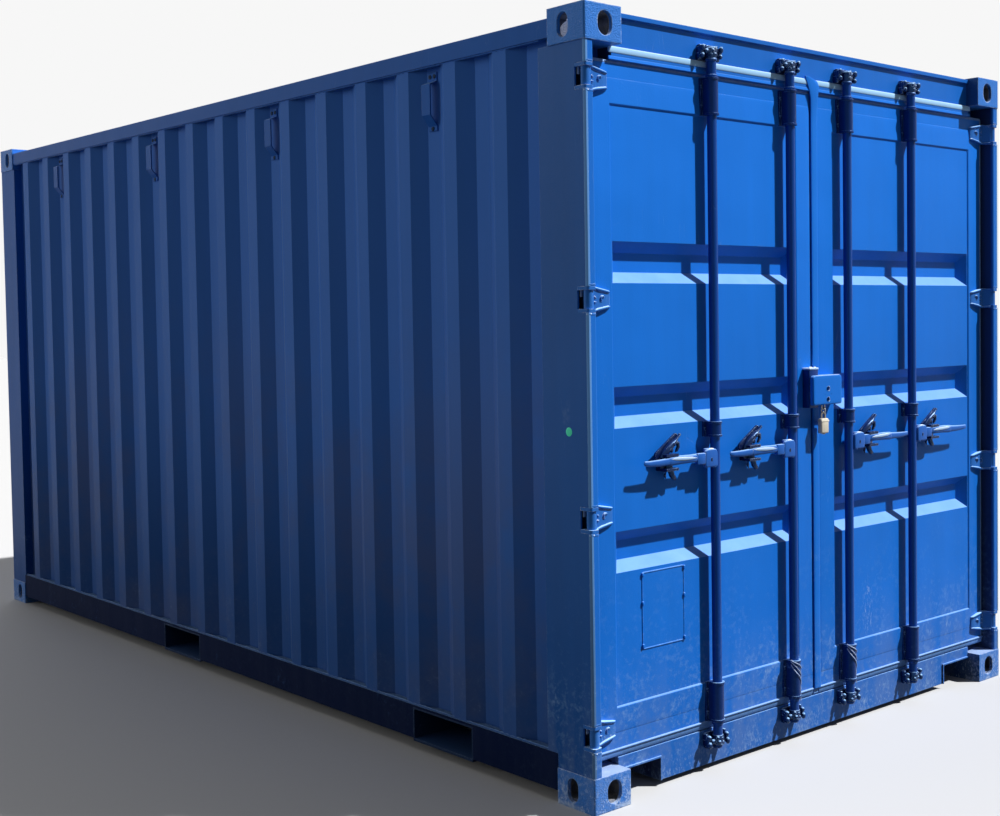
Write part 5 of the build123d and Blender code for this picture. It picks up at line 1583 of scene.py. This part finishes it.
@dataclass
class LockBox:
    """The pressed cover over the meeting edge, its two holes, its chain and its padlock.

    Attributes:
        left, right, bottom, top, front: where the cover ends.
        overlap: how deep the cover is over the left leaf.
        band, split, half_cell: the plain band's width, and the level and half the width that
            part the sheet round its holes.
        hole_x, holes, hole_radius: the holes' X, levels and radius.
        flange_level: the level of the keep's top flange.
    """

    left: float = -76.0
    right: float = 98.0
    bottom: float = 1256.0
    top: float = 1368.0
    front: float = 2.0
    overlap: float = 18.0
    band: float = 14.0
    split: float = 1296.0
    half_cell: float = 20.0
    hole_x: float = 12.0
    holes: tuple[float, ...] = (1276.0, 1316.0)
    hole_radius: float = 8.0
    flange_level: float = 1396.0

    def shell(self) -> tuple[Surface, np.ndarray]:
        """The cover's rounded rim, full depth on the right leaf and shallow over the left one.

        Returns:
            The rim and its front ring, which the face starts from.
        """
        outline = rounded_outline((self.left, self.bottom), (self.right, self.top), [8, 16, 14, 8])
        rings = [(4.0, self.overlap), (0.0, self.overlap), (0.0, self.front + 5),
                 (0.9, self.front + 2.2), (2.6, self.front + 0.6), (5.0, self.front)]
        rim = pressed(outline, rings, cap=False)
        right = rounded_outline((-8.0, self.bottom + 1), (self.right - 1, self.top - 1),
                                [6, 14, 2, 2])
        deep = pressed(right, [(0.0, LEAF_FACE), (0.0, self.front + 6)], cap=False)
        return Surface.joined([rim, deep]), rim.points[-len(outline):]

    def face(self, outer: np.ndarray) -> Surface:
        """The front sheet with its holes: a band round two drilled cells and plain strips.

        A drilled cell's point is the hole's centre + the hole's radius along angle t, blended
        outwards to where the same ray meets the cell's edge.

        Args:
            outer: the ring of points that the band starts from.

        Returns:
            The mesh, open at the holes' inner ends.
        """
        x0, x1 = self.left + self.band, self.right - self.band
        levels = [self.bottom + self.band, self.split, self.top - self.band]
        inner = rounded_outline((x0, levels[0]), (x1, levels[-1]), [0.01] * 4)
        band = np.stack([outer, at_depth(inner, self.front)])
        parts = [grid(band, close_v=True).reversed()]
        cell = (self.hole_x - self.half_cell, self.hole_x + self.half_cell)
        t = np.arange(32) * 2 * np.pi / 32 + np.pi / 32
        c, s = np.cos(t), np.sin(t)
        reach_x = self.half_cell / np.abs(c)
        hole = np.full(len(t), self.hole_radius)
        for level, low, high in zip(self.holes, levels[:-1], levels[1:]):
            reach = np.minimum(reach_x, np.where(s > 0, high - level, level - low) / np.abs(s))
            rings = ((reach, self.front), (hole + 2.4, self.front), (hole + 1.8, self.front - 0.8),
                     (hole, self.front), (hole, self.front + 6.0))
            rows = [at_depth(np.stack([self.hole_x + r * c, level + r * s], axis=-1), depth)
                    for r, depth in rings]
            parts.append(grid(np.array(rows), close_v=True).reversed())
            for a, b in ((x0, cell[0]), (cell[1], x1)):
                corners = at_depth([(a, low), (a, high), (b, low), (b, high)], self.front)
                parts.append(grid(corners.reshape(2, 2, 3)))
        return Surface.joined(parts)

    def rims(self) -> Surface:
        """The holes' right rims and the cover's top edge, painted pale as highlights."""
        arcs = [arc(-70, 80, 12, (9.4, 9.4), (self.hole_x, level)) for level in self.holes]
        brow = at_depth([(self.left + 16, self.top - 1.2), (self.right - 18, self.top - 1.2)], 4)
        return Surface.joined([*(tube(at_depth(rim, 2.2), 1.7, OUT, 6) for rim in arcs),
                               tube(brow, 1.2, OUT, 6)])

    def flange(self) -> Surface:
        """The keep's top flange, painted pale as the light on its top, with its two studs."""
        left, high = self.left, self.flange_level
        return Surface.joined([
            block((left - 2, -22), (18.5, LEAF_FACE), (high - 7, high + 0.5), 3),
            lump((left + 12, 27, high), (9, 7, 5)), lump((left + 36, 25, high), (8, 6, 4.5))])

    def keep(self) -> Surface:
        """The left leaf's deep keep behind the cover."""
        return block((self.left, -24), (20.5, LEAF_FACE), (1246, 1392), 3)

    def padlock(self) -> Surface:
        """The padlock's body, with a raised band and a turned keyway seat under it."""
        body = block((-18, 27), (10, 31), (1147, 1204), 6, 3)
        band = block((-19, 28), (9, 30), (1190, 1197), 2.4)
        seat = lathe([(0, 0), (6, 0), (7, 1), (7, 4), (0, 4)], 18).moved(5, at(20), 1144)
        return Surface.joined([body, band, seat])

    def chain(self) -> Surface:
        """The shackle and two links: ellipses, the upper one turned edge on."""
        arch = at_depth([(15, 1203), *arc(0, 180, 15, (11, 11), (4, 1216)), (-7, 1203)], 20)
        a = np.arange(20) * 2 * np.pi / 20
        link = np.stack([9 * np.cos(a), np.zeros(len(a)), 11 * np.sin(a)], axis=-1)
        low = tube(link, 2.6, (0, 1, 0), closed=True)
        high = tube(link @ turn("Z", 90).T, 2.6, (1, 0, 0), closed=True)
        return Surface.joined([tube(arch, 3.4, (0, 1, 0), 10),
                               high.moved(4, at(20), 1234), low.moved(4, at(20), 1249)])

    def build(self) -> None:
        """Makes the cover, the chain and the padlock."""
        shell, ring = self.shell()
        cover = Surface.joined([self.face(ring), shell])
        dress("lock_cover", cover, Finish.DOOR, "right_door", instead_of=["lock_box_right"])
        # The keep takes the sleeves' dark paint: painted shade where it shows round the cover.
        dress("lock_keep", self.keep(), Finish.SLEEVE, "left_door", instead_of=["lock_box_left"])
        dress("lock_flange", self.flange(), Finish.WORN, "left_door")
        dress("lock_rims", self.rims(), Finish.WORN, "right_door")
        dress("padlock_body", self.padlock(), Finish.BRASS, "right_door", instead_of=["padlock"])
        dress("padlock_chain", self.chain(), Finish.STEEL, "right_door")


@dataclass
class ClosingStrip:
    """The closing strip along the meeting edge, with its flared head bent over the header's lip.

    Attributes:
        rows: level, left edge, right edge and depth, from the bottom up.
        crown: how far its middle stands out.
        thickness: how far back its rear is.
    """

    rows: tuple[tuple[float, float, float, float], ...] = (
        (171.0, -17.0, 19.0, 51.6), (900.0, -17.0, 19.0, 51.6), (1600.0, -17.0, 19.0, 51.6),
        (2318.0, -17.0, 19.0, 51.6), (2366.0, -18.0, 19.0, 50.4), (2404.0, -22.0, 20.0, 47.5),
        (2430.0, -31.0, 22.0, 45.5), (2452.0, -42.0, 24.0, 44.5), (2470.0, -52.0, 12.0, 44.0),
        (2484.0, -58.0, -38.0, 44.0))
    crown: float = 1.6
    thickness: float = 5.1

    def build(self) -> None:
        """Makes it: at each level a row of points, its share u across crowned by 1 - (2u - 1)^4."""
        z, left, right, depth = np.array(self.rows).T
        u = np.linspace(0, 1, 7)
        x = left[:, None] + (right - left)[:, None] * u
        y = at(0) + depth[:, None] - self.crown * (1 - (2 * u - 1) ** 4)
        level = np.broadcast_to(z[:, None], x.shape)
        front, rear = (np.stack([x, y + back, level], axis=-1) for back in (0.0, self.thickness))
        loop = np.concatenate([front, rear[:, ::-1]], axis=1)
        sheet = grid(loop, close_v=True).reversed().capped(loop.shape[1])
        dress("closing_strip_sheet", sheet, Finish.DOOR, "right_door",
              instead_of=["closing_strip"])


@dataclass
class DocumentHolder:
    """A flat holder: a thin plate with a rolled edge and three small tabs on each side."""

    left: float = -937.0
    right: float = -735.0
    bottom: float = 483.0
    top: float = 740.0
    tabs: tuple[Place, Place] = ((734.0, 637.0, 493.0), (734.0, 638.0, 490.0))

    def build(self) -> None:
        """Makes the plate, its edge (a round wire along a rounded rectangle) and its tabs."""
        outline = rounded_outline((self.left, self.bottom), (self.right, self.top), [7] * 4)
        front = LEAF_FACE - 1.0
        plate = pressed(outline, [(2.0, LEAF_FACE), (2.0, front), (4.0, front)])
        edge = tube(at_depth(outline, LEAF_FACE), 2.8, OUT, closed=True)
        places = [(x, 0, z) for x, levels in zip((self.left, self.right), self.tabs)
                  for z in levels]
        tabs = block((-4.5, 4.5), (50, 57.5), (-7, 7), 2.5).placed(places)
        dress("holder_plate", Surface.joined([plate, edge, tabs]), Finish.DOOR, "left_door",
              instead_of=["document_holder"])


@dataclass
class SideFastenings:
    """Small things on the long sides: strap bolts, rail welds and a green paint mark.

    Attributes:
        straps: the straps' depths.
        strap_face: X of the right straps' faces.
        strap_bolts: how far each bolt is from its strap's middle, and its level.
        welds: level of each weld, and 1 or -1 for the side that it swells to.
        weld_x, weld_radius, weld_ends: X and radius of the welds, and the depths of their ends.
        mark: X, depth and level of the paint mark.
    """

    straps: tuple[float, ...] = (852.0, 1964.0, 3076.0, 4188.0)
    strap_face: float = 1178.0
    strap_bolts: tuple[Pair, ...] = ((-13.0, 2470.0), (13.0, 2470.0), (0.0, 2284.0))
    welds: tuple[Pair, ...] = ((167.0, 1.0), (2500.0, -1.0))
    weld_x: float = 1206.0
    weld_radius: float = 4.0
    weld_ends: Pair = (232.0, 4756.0)
    mark: Place = (-1215.0, 103.0, 1230.0)

    def bolts(self) -> Surface:
        """The right side straps' bolts: two at each top plate and one at each bottom plate."""
        head = bolt(5.5, 3.0, 8.0).turned(turn("Z", 90))
        return head.placed([(self.strap_face, at(middle + aside), z)
                            for middle in self.straps for aside, z in self.strap_bolts])

    def beads(self) -> Surface:
        """The right wall's weld beads: a low ridge along each rail.

        A ridge's section is an arc, (r cos t, r sin t) from X and the level, r changing along Y.
        """
        y = np.linspace(at(self.weld_ends[0]), at(self.weld_ends[1]), 420)
        t = np.radians([-20, 20, 60, 100, 140])
        wobble = 1.0 + 0.25 * np.sin(y * 0.21) + 0.15 * np.sin(y * 0.57 + 1.0)
        radius = self.weld_radius * wobble[:, None]
        x = self.weld_x + radius * np.cos(t)
        along = np.broadcast_to(y[:, None], x.shape)
        upper, lower = (grid(np.stack([x, along, level + way * radius * np.sin(t)], axis=-1))
                        for level, way in self.welds[::-1])
        return Surface.joined([lower.reversed(), upper])

    def build(self) -> None:
        """Makes both sides' fastenings and the mark by the near post."""
        dress("strap_bolts", self.bolts().doubled(), Finish.UNDER, "root", 25)
        dress("side_welds", self.beads().doubled(), Finish.WALL, "root", 60)
        dab = lathe([(15, 0), (14, 0.7), (8, 1.1), (0, 1.2)], 20).turned(turn("Y", -90))
        x, depth, z = self.mark
        dress("green_mark", dab.moved(x, at(depth), z), Finish.MARK, "root")


@dataclass
class FloorScrews:
    """The countersunk screws that hold the floor boards to the cross members."""

    top: float = 186.0
    rows: int = 16
    ends: Pair = (290.0, 4700.0)
    across: tuple[float, ...] = (-1110.0, -860.0, -615.0, -540.0, -300.0, -40.0, 40.0, 300.0, 540.0,
                                 615.0, 860.0, 1110.0)

    def build(self) -> None:
        """Makes them as one mesh: a shallow dish with a rim at each crossing."""
        dish = lathe([(7, 0), (7, 0.5), (5.5, 0.6), (3.5, -0.1), (0, -0.1)], 10)
        lines = np.linspace(at(self.ends[0]), at(self.ends[1]), self.rows)
        places = [(x, y, self.top) for y in lines for x in self.across]
        dress("floor_screws", dish.placed(places), Finish.STEEL, "root")


def main() -> None:
    """Builds the studio and every sub-assembly in order."""
    logging.basicConfig(level=logging.INFO, format="%(name)s %(message)s")
    Studio().build()
    SHELL.dress()
    parts = (PanelLips(), HeaderLip(), SealLips(), HingeForging(), PostEdges(), CamKeepers(),
             SleeveBolts(), HandleLatches(), Handles(), SealWires(), LockBox(), ClosingStrip(),
             DocumentHolder(), SideFastenings(), FloorScrews())
    for part in parts:
        part.build()
        LOG.info("%s done", type(part).__name__)


if __name__ == "__main__":
    main()
